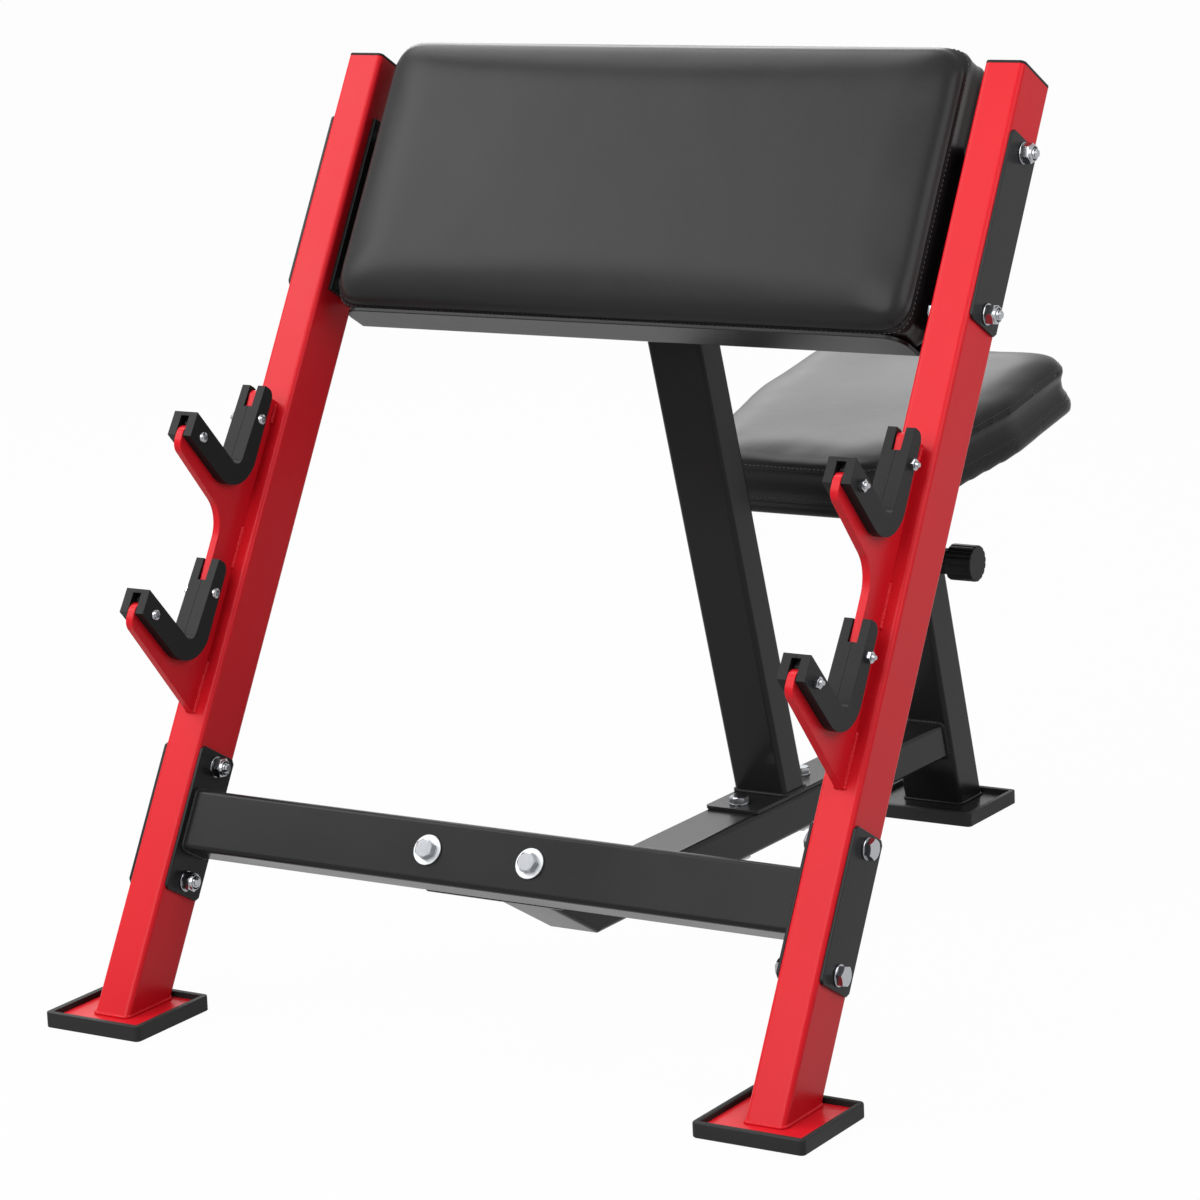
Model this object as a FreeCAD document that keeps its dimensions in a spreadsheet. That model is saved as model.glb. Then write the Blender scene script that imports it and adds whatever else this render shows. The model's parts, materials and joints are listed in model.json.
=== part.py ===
import FreeCAD, Part
import Sketcher
import math
import os
from types import SimpleNamespace

# Preacher curl bench with bar racks, an arm pad and a seat that slides to several heights.
# +Z is up, X runs across the bench, the racks face -Y and the lifter sits on the +Y side.
# The origin is on the floor under the middle of the bench. Lengths in mm, angles in degrees.

SIZES = (
    # Whole frame
    ("frame_width", 750, "outside to outside of the uprights"),
    ("origin_back", 520.5, "from the uprights' front foot edge back to the origin"),
    ("tube_narrow", 40, "narrow side of the frame tube"),
    ("tube_wide", 60, "wide side of the frame tube"),
    ("tube_wall", 2.5, "wall of every tube"),
    ("tube_corner", 5, "outside corner radius of every tube"),
    ("plate_thickness", 4, "base and mounting plates"),
    ("joint_plate", 3, "end and backing plates at the uprights"),
    ("plate_corner", 4, "corners cut off the flat plates"),
    # Uprights
    ("upright_lean", 30, "lean of the uprights away from the rack side"),
    ("upright_length", 990, "front edge of an upright"),
    ("cap_thickness", 3, "head of an end cap"),
    ("cap_plug", 14, "depth of the plug inside the tube"),
    ("cap_fit", 0.2, "gap between the plug and the tube"),
    # Feet
    ("tray_floor", 4.5, "rubber under a foot plate"),
    ("tray_rim", 6, "width of the raised rim"),
    ("tray_height", 15, "height of the rim above the floor"),
    ("tray_corner", 5, "outside corner radius of a tray"),
    ("foot_plate_thickness", 5, "steel foot plates"),
    ("front_foot_width", 99, "front foot plate across"),
    ("front_foot_length", 98, "front foot plate front to back"),
    ("front_foot_toe", 22.5, "front foot plate ahead of the upright"),
    ("rear_foot_width", 128, "rear foot plate across"),
    ("rear_foot_length", 100, "rear foot plate front to back"),
    ("rear_foot_toe", 41, "rear foot plate ahead of the rear post"),
    # Rack plates, drawn from the sharp bottom of a bar notch
    ("rack_thickness", 8, "steel of a rack plate"),
    ("notch_low", 358, "lower notch bottom, along the upright"),
    ("notch_pitch", 178, "from the lower to the upper notch"),
    ("notch_ahead", 41.5, "notch bottom ahead of the upright"),
    ("front_arm_rise", 18, "slope of the front arm's bearing face"),
    ("back_arm_lean", 4, "draft of the back arm's bearing face"),
    ("hook_slope", 20.9, "slope of a hook's lower edge"),
    ("hook_foot", 58, "hook's lower edge below the notch, at the upright"),
    ("hook_reach", 127, "nose of a hook ahead of the upright"),
    ("rack_edge", 34, "plate edge behind the back arm, ahead of the upright"),
    ("rack_cover", 7, "liner over the plate on the front arm"),
    ("rack_top", 85, "plate's top above the upper notch"),
    ("nose_radius", 12, "rounded nose of a hook"),
    ("hook_throat", 34, "hollow corner under the upper hook"),
    ("rack_round", 6, "top corner of a rack plate"),
    ("rack_vee_radius", 12, "plate corner under a liner"),
    # Notch liners
    ("liner_half", 13.8, "width of one liner half"),
    ("front_arm_reach", 83.5, "bearing face of the front arm, front to back"),
    ("front_arm_thick", 24, "depth of the front arm under its bearing face"),
    ("front_arm_cut", 1.5, "slant of the front arm's end"),
    ("back_arm_gap", 20, "back arm's rear face ahead of the upright"),
    ("back_arm_height", 88, "back arm above the notch bottom"),
    ("notch_radius", 9, "rounded notch bottom"),
    ("liner_heel", 35, "rounded heel outside the notch"),
    ("liner_round", 9, "rounded top of the back arm"),
    ("slot_half", 4.6, "half the slot at an arm's end"),
    ("front_slot", 8, "slot length in the front arm"),
    ("front_web", 1.5, "liner left over the slot in the front arm"),
    ("back_slot", 22, "slot length in the back arm"),
    # Liner screws
    ("screw_front", 66.5, "front screw ahead of the notch bottom"),
    ("screw_front_up", 8, "front screw above the notch bottom"),
    ("screw_back", 13, "back screw behind the notch bottom"),
    ("screw_back_up", 56, "back screw above the notch bottom"),
    ("screw_diameter", 6, "liner screw"),
    ("screw_head", 11, "head diameter of a liner screw"),
    ("screw_head_height", 3, "head height of a liner screw"),
    ("screw_nut_flats", 10, "across flats of a liner nut"),
    ("screw_nut_height", 5, "height of a liner nut"),
    ("screw_end", 3.5, "screw end past its nut"),
    # Front cross tube and its plates, along the upright
    ("cross_height", 200.8, "middle of the cross tube along the upright"),
    ("cross_setback", 10, "cross tube's front behind the uprights' front"),
    ("plate_width", 54, "backing and end plates across the upright"),
    ("plate_middle", 30, "middle of those plates behind the upright's front"),
    ("lower_plate_length", 142, "plates at the cross tube"),
    ("lower_bolt_spacing", 114, "bolts at the cross tube"),
    ("upper_height", 836, "middle of the pad cradle along the upright"),
    ("upper_plate_length", 183, "plates at the pad cradle"),
    ("upper_bolt_spacing", 157, "bolts at the pad cradle"),
    # Frame bolts
    ("bolt_diameter", 10, "frame bolts"),
    ("bolt_hole", 10.8, "holes for the frame bolts"),
    ("bolt_flats", 17, "across flats of heads and nuts"),
    ("bolt_head", 6.5, "height of a bolt head"),
    ("nut_height", 8, "hexagon of a lock nut"),
    ("nut_collar", 2.5, "height of the round collar on a lock nut"),
    ("collar_diameter", 15, "round collar on a lock nut"),
    ("bolt_end", 3, "bolt end past its nut"),
    ("washer_diameter", 20, "plain washers"),
    ("washer_thickness", 2, "plain washers"),
    ("thread_fit", 0.15, "gap round a bolt inside nuts and washers"),
    ("wide_washer", 29, "wide washers on the cross tube"),
    # Main beam
    ("beam_clearance", 67, "underside of the main beam above the floor"),
    ("mount_length", 156, "mounting plate behind the cross tube"),
    ("mount_bolt_spacing", 112, "bolts through the cross tube"),
    # Mid post
    ("mid_post_back", 619.5, "mid post's front foot edge behind the uprights'"),
    ("mid_post_lean", 16, "lean of the mid post towards the racks"),
    ("base_length", 162, "base plate of the mid post"),
    ("base_bolt_spacing", 126, "bolts in the base plate"),
    # Pad cradle, a folded sheet
    ("cradle_sheet", 4, "sheet thickness"),
    ("cradle_back", 54, "rear face behind the uprights' front"),
    ("cradle_flange", 41, "side flange, front to back"),
    ("lip_drop", 115, "underside of the lip below the cradle's middle"),
    ("lip_reach", 48, "lip, front to back"),
    ("lip_gap", 26, "end of the lip from each upright"),
    ("lip_corner", 22, "rounded front corners of the lip"),
    ("fold_radius", 6, "outside of the folds"),
    # Arm pad
    ("arm_pad_gap", 18, "cushion from each upright"),
    ("arm_pad_height", 282, "cushion along the uprights"),
    ("arm_pad_side", 46, "cushion from its back to the front seam"),
    ("arm_pad_crown", 20, "cushion's crown ahead of the seam"),
    ("arm_pad_roll", 35, "run of the crown from its seam to the flat middle"),
    ("arm_pad_corner", 27, "corner radius of the cushion"),
    ("arm_pad_waist", 3, "how far the sides draw in"),
    ("board_thickness", 12, "plywood boards in the pads"),
    ("board_margin", 12, "board inside the cushion's edge"),
    ("board_corner", 20, "corners cut off the seat's board"),
    ("pad_screw_across", 360, "arm pad screws, across"),
    ("pad_screw_along", 100, "arm pad screws, along the upright"),
    ("pad_screw_diameter", 8, "pad screws"),
    ("pad_screw_head", 15, "head diameter of a pad screw"),
    ("pad_screw_head_height", 4, "head height of a pad screw"),
    # Rear post, the sleeve of the seat post
    ("rear_post_back", 992, "rear post's front foot edge behind the uprights'"),
    ("rear_post_lean", 15.5, "lean of the rear post towards the racks"),
    ("sleeve_wide", 70, "rear post across"),
    ("sleeve_deep", 50, "rear post front to back"),
    ("sleeve_length", 335, "front edge of the rear post"),
    ("bush_length", 70, "guide bush inside the rear post"),
    ("bush_flange", 3, "guide bush above the rear post"),
    ("slide_fit", 0.3, "gap round the seat post in its bush"),
    # Seat
    ("seat_set", 420.5, "underside of the seat along the rear post"),
    ("seat_tilt", 10, "seat's slope down towards the racks"),
    ("seat_post_foot", 165, "lower end of the seat post along the rear post"),
    ("seat_plate_width", 190, "steel plate under the seat, across"),
    ("seat_plate_length", 200, "steel plate under the seat, front to back"),
    ("seat_plate_thickness", 5, "steel plate under the seat"),
    ("seat_width", 318, "seat cushion at its widest"),
    ("seat_rear_width", 312, "seat cushion at its rear edge"),
    ("seat_front_width", 244, "seat cushion at its front edge"),
    ("seat_rear", 167, "rear edge behind the post's axis"),
    ("seat_front", 212, "front edge ahead of the post's axis"),
    ("seat_rear_corner", 45, "rear corner radius"),
    ("seat_shoulder", 150, "rounding where the sides start to taper"),
    ("seat_front_corner", 70, "front corner radius"),
    ("seat_base", 13, "firm band round the seat's foot"),
    ("seat_side", 46, "upper seam above the underside"),
    ("seat_crown", 17, "crown above the upper seam"),
    ("seat_roll", 24, "run of the crown from its seam to the flat middle"),
    ("seat_waist", 9, "how far the sides draw in"),
    ("seat_seam_inset", 4.5, "upper seam inside the firm band"),
    ("seat_foot_inset", 1.5, "underside inside the firm band"),
    ("seat_band_roll", 5, "rounded top of the firm band"),
    ("seat_screw_across", 150, "seat screws, across"),
    ("seat_screw_along", 150, "seat screws, front to back"),
    # Pull pin
    ("pin_set", 288, "pull pin along the rear post"),
    ("pin_diameter", 10, "pull pin"),
    ("pin_fit", 0.2, "gap round the pull pin"),
    ("post_hole_fit", 0.4, "gap round the pull pin in the seat post"),
    ("pin_depth", 10, "pin inside the seat post's wall"),
    ("hole_pitch", 25, "between the holes in the seat post"),
    ("holes_below", 4, "holes below the one in use"),
    ("holes_above", 2, "holes above the one in use"),
    ("housing_diameter", 28, "ribbed housing of the pull pin"),
    ("housing_length", 24, "housing beside the rear post"),
    ("knob_diameter", 39, "knob of the pull pin"),
    ("knob_length", 30, "knob of the pull pin"),
    ("knob_gap", 0.3, "between the knob and its housing"),
    ("knob_socket", 18, "pin inside the knob"),
    ("rib_count", 16, "grooves round the knob and the housing"),
    ("rib_width", 3.2, "width of a groove"),
    ("rib_depth", 1.2, "depth of a groove"),
)


class Dim:
    """A size that keeps its number beside the sheet expression it comes from."""

    def __init__(self, number, text):
        self.number = number
        self.text = text

    def __add__(self, other):
        other = dim(other)
        return Dim(self.number + other.number, f"({self.text} + {other.text})")

    def __sub__(self, other):
        other = dim(other)
        return Dim(self.number - other.number, f"({self.text} - {other.text})")

    def __mul__(self, other):
        other = dim(other)
        return Dim(self.number * other.number, f"({self.text} * {other.text})")

    def __truediv__(self, other):
        other = dim(other)
        return Dim(self.number / other.number, f"({self.text} / {other.text})")

    def __neg__(self):
        return Dim(-self.number, f"(-1 * {self.text})")


def dim(value):
    """A plain number as a Dim."""
    if isinstance(value, Dim):
        return value
    return Dim(float(value), repr(float(value)))


def sine(angle):
    return Dim(math.sin(math.radians(angle.number)), f"sin({angle.text})")


def cosine(angle):
    return Dim(math.cos(math.radians(angle.number)), f"cos({angle.text})")


def tangent(angle):
    return Dim(math.tan(math.radians(angle.number)), f"tan({angle.text})")


# The document and its sheet of sizes
doc = FreeCAD.newDocument("preacher_bench")
sheet = doc.addObject("Spreadsheet::Sheet", "sizes")
for row, (alias, number, meaning) in enumerate(SIZES, 1):
    sheet.set(f"A{row}", alias)
    sheet.set(f"B{row}", str(number))
    sheet.setAlias(f"B{row}", alias)
    sheet.set(f"C{row}", meaning)
doc.recompute()
size = SimpleNamespace(**{alias: Dim(float(number), f"sizes.{alias}") for alias, number, _ in SIZES})

ZERO = dim(0)
SIDES = (("left", -1), ("right", 1))
NEAR = 0.01
FULL_TURN = 360
# Small round pieces have flat sides, as many as each one's size calls for
WASHER_SIDES = 12
HEAD_SIDES = 8
SHANK_SIDES = 6
PIN_HOLE_SIDES = 8
# Sections of a cushion's crown and sides, and how square its shoulder is: 2 would be an ellipse
CROWN_STEPS = 4
WAIST_STEPS = 3
CROWN_POWER = 3
nodes = []

# Levels and places that several pieces share
foot_top = size.tray_floor + size.foot_plate_thickness
upright_x = (size.frame_width - size.tube_narrow) / 2
inner_x = size.frame_width / 2 - size.tube_narrow
outer_x = size.frame_width / 2
beam_top = size.beam_clearance + size.tube_narrow
base_top = beam_top + size.plate_thickness
lip_height = size.upper_height - size.lip_drop
lean_sine, lean_cosine = sine(size.upright_lean), cosine(size.upright_lean)


def keep(obj, label):
    """Name a finished sub-part."""
    obj.Label = label
    nodes.append(obj)
    return obj


def place(obj, across, back, up, tilt):
    """Bind a place measured from the uprights' front foot line, tilted about X."""
    base = f"vector({dim(across).text}; {(dim(back) - size.origin_back).text}; {dim(up).text})"
    turn = f"rotation(vector(1; 0; 0); {dim(tilt).text})"
    obj.setExpression("Placement", f"placement({base}; {turn})")


def place_leaning(obj, across=ZERO):
    """In the uprights' frame: Y runs back from their front faces, Z along them."""
    place(obj, across, ZERO, foot_top, -size.upright_lean)


def place_mid_post(obj):
    place(obj, ZERO, size.mid_post_back, base_top, size.mid_post_lean)


def place_rear_post(obj, across=ZERO):
    """In the rear post's frame: Y runs back from its front face, Z along it."""
    place(obj, across, size.rear_post_back, foot_top, size.rear_post_lean)


def place_seat(obj):
    """In the seat's frame: origin on the post's axis at the cushion's underside."""
    middle = size.sleeve_deep / 2
    lean = size.rear_post_lean
    back = size.rear_post_back + middle * cosine(lean) - size.seat_set * sine(lean)
    up = foot_top + middle * sine(lean) + size.seat_set * cosine(lean)
    place(obj, ZERO, back, up, size.seat_tilt)


def new_body(label):
    return keep(doc.addObject("PartDesign::Body", label), label)


def new_sketch(body, plane, height=ZERO):
    sketch = body.newObject("Sketcher::SketchObject", "outline")
    support = [part for part in body.Origin.OriginFeatures if part.Role == plane]
    sketch.AttachmentSupport = [(support[0], "")]
    sketch.MapMode = "FlatFace"
    sketch.setExpression("AttachmentOffset.Base.z", height.text)
    return sketch


def pin_points(sketch, point, spots):
    """Tie the same point of several shapes, such as their starts, to distances from the origin."""
    ties, texts = [], []
    for shape, spot in spots:
        for kind, value in zip(("DistanceX", "DistanceY"), spot):
            ties.append(Sketcher.Constraint(kind, -1, 1, shape, point, value.number))
            texts.append(value.text)
    for index, text in zip(sketch.addConstraint(ties), texts):
        sketch.setExpression(f"Constraints[{index}]", text)


def add_loops(sketch, loops):
    """Closed loops of straight edges through the given points."""
    edges, links, starts = [], [], []
    for points in loops:
        begin = len(edges)
        points = [(dim(across), dim(up)) for across, up in points]
        corners = [FreeCAD.Vector(across.number, up.number, 0) for across, up in points]
        for index, point in enumerate(points):
            follower = (index + 1) % len(points)
            edges.append(Part.LineSegment(corners[index], corners[follower]))
            links.append(Sketcher.Constraint("Coincident", begin + index, 2, begin + follower, 1))
            starts.append((begin + index, point))
    sketch.addGeometry(edges, False)
    sketch.addConstraint(links)
    pin_points(sketch, 1, starts)


def polygon(body, points, plane="YZ_Plane", height=ZERO):
    sketch = new_sketch(body, plane, height)
    add_loops(sketch, [points])
    return sketch


def rectangle(body, left, right, low, high, plane="YZ_Plane", height=ZERO):
    return polygon(body, ((left, low), (right, low), (right, high), (left, high)), plane, height)


def circle(body, centre, diameter, plane="YZ_Plane", height=ZERO):
    sketch = new_sketch(body, plane, height)
    middle = FreeCAD.Vector(centre[0].number, centre[1].number, 0)
    ring = Part.Circle(middle, FreeCAD.Vector(0, 0, 1), diameter.number / 2)
    sketch.addGeometry(ring, False)
    limit = sketch.addConstraint(Sketcher.Constraint("Diameter", 0, diameter.number))
    sketch.setExpression(f"Constraints[{limit}]", diameter.text)
    pin_points(sketch, 3, [(0, centre)])
    return sketch


def around(centre, reach, angle):
    """A point at a distance and an angle from a centre."""
    return reach * cosine(angle) + centre[0], reach * sine(angle) + centre[1]


def holes(body, centres, diameter, plane="YZ_Plane", height=ZERO, sides=SHANK_SIDES):
    """Outlines of bolt and pin holes, whose flat sides touch the true circle from outside."""
    sketch = new_sketch(body, plane, height)
    reach = outside_circle(diameter, sides)
    turns = [dim(FULL_TURN * step / sides) for step in range(sides)]
    add_loops(sketch, [[around(centre, reach, turn) for turn in turns] for centre in centres])
    return sketch


def outside_circle(diameter, sides):
    """Corner radius of a regular outline whose sides touch a circle from outside."""
    return diameter / 2 / math.cos(math.pi / sides)


def pad(body, sketch, length, symmetric=True, backwards=False):
    feature = body.newObject("PartDesign::Pad", "pad")
    feature.Profile = sketch
    feature.setExpression("Length", length.text)
    feature.Midplane = symmetric
    feature.Reversed = backwards
    doc.recompute()
    return feature


def pocket(body, sketch, length=None, symmetric=True, backwards=False):
    """Cut a sketch out of a body, right through where no length is given."""
    before = body.Shape.Volume
    feature = body.newObject("PartDesign::Pocket", "pocket")
    feature.Profile = sketch
    feature.Midplane = symmetric
    feature.Reversed = backwards
    if length is None:
        feature.Type = "ThroughAll"
    else:
        feature.setExpression("Length", length.text)
    doc.recompute()
    if body.Shape.Volume > before - NEAR:
        raise RuntimeError(f"a pocket cuts nothing from {body.Label}")
    return feature


def edges_at(feature, middles):
    """Names of the edges whose middles are at the given points."""
    found = []
    for index, edge in enumerate(feature.Shape.Edges, 1):
        middle = edge.valueAt((edge.FirstParameter + edge.LastParameter) / 2)
        if any(middle.distanceToPoint(FreeCAD.Vector(*point)) < NEAR for point in middles):
            found.append(f"Edge{index}")
    if len(found) != len(middles):
        raise RuntimeError(f"{feature.Label}: {len(found)} of {len(middles)} edges found")
    return found


def round_off(body, feature, middles, radius):
    """Round the edges whose middles are given."""
    fillet = body.newObject("PartDesign::Fillet", "fillet")
    fillet.Base = (feature, edges_at(feature, middles))
    fillet.setExpression("Radius", radius.text)
    doc.recompute()
    return fillet


def cut_off(body, feature, middles, length):
    """Cut the corners off along the edges whose middles are given."""
    chamfer = body.newObject("PartDesign::Chamfer", "chamfer")
    chamfer.Base = (feature, edges_at(feature, middles))
    chamfer.setExpression("Size", length.text)
    doc.recompute()
    return chamfer


def corners_of(points, across=0.0):
    """Middles of the edges that run along X through outline points."""
    return [(across, dim(back).number, dim(up).number) for back, up in points]


def long_edges(points, sides, width):
    """Middles of the long edges over the given sides of an outline padded along X."""
    middles = []
    for start, end in sides:
        back = (dim(points[start][0]).number + dim(points[end][0]).number) / 2
        up = (dim(points[start][1]).number + dim(points[end][1]).number) / 2
        middles += [(side * width.number / 2, back, up) for _, side in SIDES]
    return middles


def hollow_tube(label, points, sides, inside, width):
    """A tube from its side outline, with rounded long edges and a wall all round."""
    body = new_body(label)
    solid = pad(body, polygon(body, points), width)
    round_off(body, solid, long_edges(points, sides, width), size.tube_corner)
    pocket(body, polygon(body, inside), width - size.tube_wall * 2)
    return body


def standing_tube(label, front, rear, foot, head, width):
    """A tube along its frame's Z; foot and head give the heights of its front and rear edges."""
    points = ((front, foot[0]), (rear, foot[1]), (rear, head[1]), (front, head[0]))
    spare = rear - front
    low = spare * -2 + foot[0]
    high = head[1] + spare * 2
    wall = size.tube_wall
    inside = ((front + wall, low), (rear - wall, low), (rear - wall, high), (front + wall, high))
    return hollow_tube(label, points, ((0, 3), (1, 2)), inside, width)


def lying_tube(label, low, high, near, far, width):
    """A tube along its frame's Y; near and far give the ends of its lower and upper edges."""
    points = ((near[0], low), (far[0], low), (far[1], high), (near[1], high))
    spare = high - low
    start = near[0] - spare * 2
    end = far[0] + spare * 2
    wall = size.tube_wall
    inside = ((start, low + wall), (end, low + wall), (end, high - wall), (start, high - wall))
    return hollow_tube(label, points, ((0, 1), (3, 2)), inside, width)


def flat_plate(label, front, rear, low, high, thickness, spots):
    """A plate in a YZ plane with its corners cut off and bolt holes."""
    body = new_body(label)
    points = ((front, low), (rear, low), (rear, high), (front, high))
    solid = pad(body, polygon(body, points), thickness)
    cut_off(body, solid, corners_of(points), size.plate_corner)
    pocket(body, holes(body, spots, size.bolt_hole))
    return body


# Loose Part pieces for fasteners, drawn along +Z from the face they bear on


def prism(sides, corner_radius, height, start=ZERO):
    piece = doc.addObject("Part::Prism", "prism")
    piece.Polygon = sides
    piece.setExpression("Circumradius", corner_radius.text)
    piece.setExpression("Height", height.text)
    piece.setExpression("Placement.Base.z", dim(start).text)
    return piece


def hexagon(flats, height, start=ZERO):
    return prism(6, outside_circle(flats, 6), height, start)


def rod(diameter, length, start=ZERO, sides=SHANK_SIDES):
    """A small round piece whose corners lie on the true circle."""
    return prism(sides, diameter / 2, length, start)


def joined(*pieces):
    result = doc.addObject("Part::MultiFuse", "joined")
    result.Shapes = list(pieces)
    return result


def bored(piece, diameter, length, start=ZERO):
    result = doc.addObject("Part::Cut", "bored")
    result.Base = piece
    result.Tool = prism(SHANK_SIDES, outside_circle(diameter, SHANK_SIDES), length, start)
    return result


def bolt(length):
    """A hexagon bolt; its head lies behind the bearing face."""
    head = hexagon(size.bolt_flats, size.bolt_head, -size.bolt_head)
    return joined(head, rod(size.bolt_diameter, length))


def lock_nut():
    collar = rod(size.collar_diameter, size.nut_collar, size.nut_height, HEAD_SIDES)
    solid = joined(hexagon(size.bolt_flats, size.nut_height), collar)
    return bored(solid, size.bolt_diameter + size.thread_fit * 2, size.nut_height + size.nut_collar)


def round_screw(head_diameter, head_height, diameter, length):
    """A round-headed screw; its head lies behind the bearing face."""
    head = rod(head_diameter, head_height, -head_height, HEAD_SIDES)
    return joined(head, rod(diameter, length))


def pad_screw(length):
    return round_screw(size.pad_screw_head, size.pad_screw_head_height, size.pad_screw_diameter, length)


def washer(diameter):
    solid = rod(diameter, size.washer_thickness, ZERO, WASHER_SIDES)
    return bored(solid, size.bolt_diameter + size.thread_fit * 2, size.washer_thickness)


def turned(piece, across, back, up, axis, angle):
    """Set a loose piece in its group's frame, turned about one axis."""
    base = f"vector({dim(across).text}; {dim(back).text}; {dim(up).text})"
    piece.setExpression("Placement", f"placement({base}; rotation(vector({axis}); {angle}))")
    return piece


def along_x(piece, across, back, up, side):
    return turned(piece, across, back, up, "0; 1; 0", 90 * side)


def backwards(piece, across, back, up):
    return turned(piece, across, back, up, "1; 0; 0", -90)


def downwards(piece, across, back, up):
    return turned(piece, across, back, up, "1; 0; 0", 180)


def upwards(piece, across, back, up):
    return turned(piece, across, back, up, "1; 0; 0", 0)


def group(label, pieces):
    """Several like pieces in one node."""
    result = doc.addObject("Part::Compound", label)
    result.Links = pieces
    return keep(result, label)


# Uprights with their end caps
def make_uprights():
    depth = size.tube_wide
    foot = (ZERO, depth * tangent(size.upright_lean))
    head = (size.upright_length, size.upright_length)
    levels = bolt_levels(size.cross_height, size.lower_bolt_spacing)
    levels += bolt_levels(size.upper_height, size.upper_bolt_spacing)
    spots = [(size.plate_middle, level) for level in levels]
    for name, side in SIDES:
        body = standing_tube(f"upright_{name}", ZERO, depth, foot, head, size.tube_narrow)
        pocket(body, holes(body, spots, size.bolt_hole))
        place_leaning(body, upright_x * side)
        make_cap(f"upright_cap_{name}", upright_x * side)


def make_cap(label, across):
    """A flat plastic cap with a plug that fits the tube's mouth."""
    body = new_body(label)
    half, depth = size.tube_narrow / 2, size.tube_wide
    gap = size.tube_wall + size.cap_fit
    head = pad(
        body,
        rectangle(body, -half, half, ZERO, depth, "XY_Plane", size.upright_length),
        size.cap_thickness,
        symmetric=False,
    )
    level = (size.upright_length + size.cap_thickness / 2).number
    middles = [(x, y, level) for x in (-half.number, half.number) for y in (0, depth.number)]
    round_off(body, head, middles, size.tube_corner)
    plug = rectangle(body, gap - half, half - gap, gap, depth - gap, "XY_Plane", size.upright_length)
    pad(body, plug, size.cap_plug, symmetric=False, backwards=True)
    place_leaning(body, across)


def bolt_levels(middle, spacing):
    return [middle - spacing / 2, middle + spacing / 2]


# Foot plates in rubber trays
def make_foot(name, across, back, width, length):
    """A steel plate that lies in a rubber tray with a raised rim."""
    plate = new_body(f"foot_plate_{name}")
    half = width / 2
    pad(plate, rectangle(plate, -half, half, ZERO, length, "XY_Plane"), size.foot_plate_thickness, False)
    place(plate, across, back, size.tray_floor, ZERO)
    tray = new_body(f"foot_tray_{name}")
    rim = size.tray_rim
    outside = rectangle(tray, -half - rim, half + rim, -rim, length + rim, "XY_Plane")
    block = pad(tray, outside, size.tray_height, False)
    level = size.tray_height.number / 2
    sides = [sign * (half + rim).number for sign in (-1, 1)]
    middles = [(x, y, level) for x in sides for y in (-rim.number, (length + rim).number)]
    round_off(tray, block, middles, size.tray_corner)
    inside = rectangle(tray, -half, half, ZERO, length, "XY_Plane", size.tray_floor)
    pocket(tray, inside, None, symmetric=False, backwards=True)
    place(tray, across, back, ZERO, ZERO)


def make_feet():
    for name, side in SIDES:
        place_x = upright_x * side
        make_foot(name, place_x, -size.front_foot_toe, size.front_foot_width, size.front_foot_length)
    back = size.rear_post_back - size.rear_foot_toe
    make_foot("rear", ZERO, back, size.rear_foot_width, size.rear_foot_length)


# Rack plates with two hooks each, and their plastic liners
def bearing_height(ahead):
    """Height of the front arm's bearing line above the notch bottom, that far ahead of it."""
    return ahead * tangent(size.front_arm_rise)


def hook_points(level):
    """Nose bottom, nose top and plate corner of a hook whose notch bottom is at level."""
    drop = size.rack_cover / cosine(size.front_arm_rise)
    nose_low = level - size.hook_foot + size.hook_reach * tangent(size.hook_slope)
    nose_high = level + bearing_height(size.hook_reach - size.notch_ahead) - drop
    corner = level + bearing_height(size.rack_edge - size.notch_ahead) - drop
    return (
        (-size.hook_reach, nose_low),
        (-size.hook_reach, nose_high),
        (-size.rack_edge, corner),
    )


def rack_outline():
    upper = size.notch_low + size.notch_pitch
    throat = upper - size.hook_foot + size.rack_edge * tangent(size.hook_slope)
    top = upper + size.rack_top
    points = [(ZERO, size.notch_low - size.hook_foot)]
    points += hook_points(size.notch_low)
    points += [(-size.rack_edge, throat)]
    points += hook_points(upper)
    points += [(-size.rack_edge, top), (ZERO, top)]
    return points


def screw_spots(level):
    front = (-size.notch_ahead - size.screw_front, level + size.screw_front_up)
    back = (size.screw_back - size.notch_ahead, level + size.screw_back_up)
    return [front, back]


def make_rack_plate(name, side):
    body = new_body(f"rack_plate_{name}")
    points = rack_outline()
    solid = pad(body, polygon(body, points), size.rack_thickness)
    solid = round_off(body, solid, corners_of([points[4]]), size.hook_throat)
    noses = [points[index] for index in (1, 2, 5, 6)]
    solid = round_off(body, solid, corners_of(noses), size.nose_radius)
    solid = round_off(body, solid, corners_of([points[3], points[7]]), size.rack_vee_radius)
    round_off(body, solid, corners_of([points[8]]), size.rack_round)
    spots = screw_spots(size.notch_low) + screw_spots(size.notch_low + size.notch_pitch)
    pocket(body, holes(body, spots, size.screw_diameter + size.thread_fit * 2))
    place_leaning(body, upright_x * side)
    return body


def liner_outline(level):
    """V outline of a liner: front arm, notch, back arm and heel."""
    depth = size.front_arm_thick / cosine(size.front_arm_rise)
    tip = -size.notch_ahead - size.front_arm_reach
    tip_end = tip - size.front_arm_cut
    under_tip = level + bearing_height(size.front_arm_reach + size.front_arm_cut) - depth
    rear = -size.back_arm_gap
    heel = level + bearing_height(size.back_arm_gap - size.notch_ahead) - depth
    top = level + size.back_arm_height
    back_face = size.back_arm_height * tangent(size.back_arm_lean) - size.notch_ahead
    return [
        (tip, level + bearing_height(size.front_arm_reach)),
        (tip_end, under_tip),
        (rear, heel),
        (rear, top),
        (back_face, top),
        (-size.notch_ahead, level),
    ]


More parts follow.
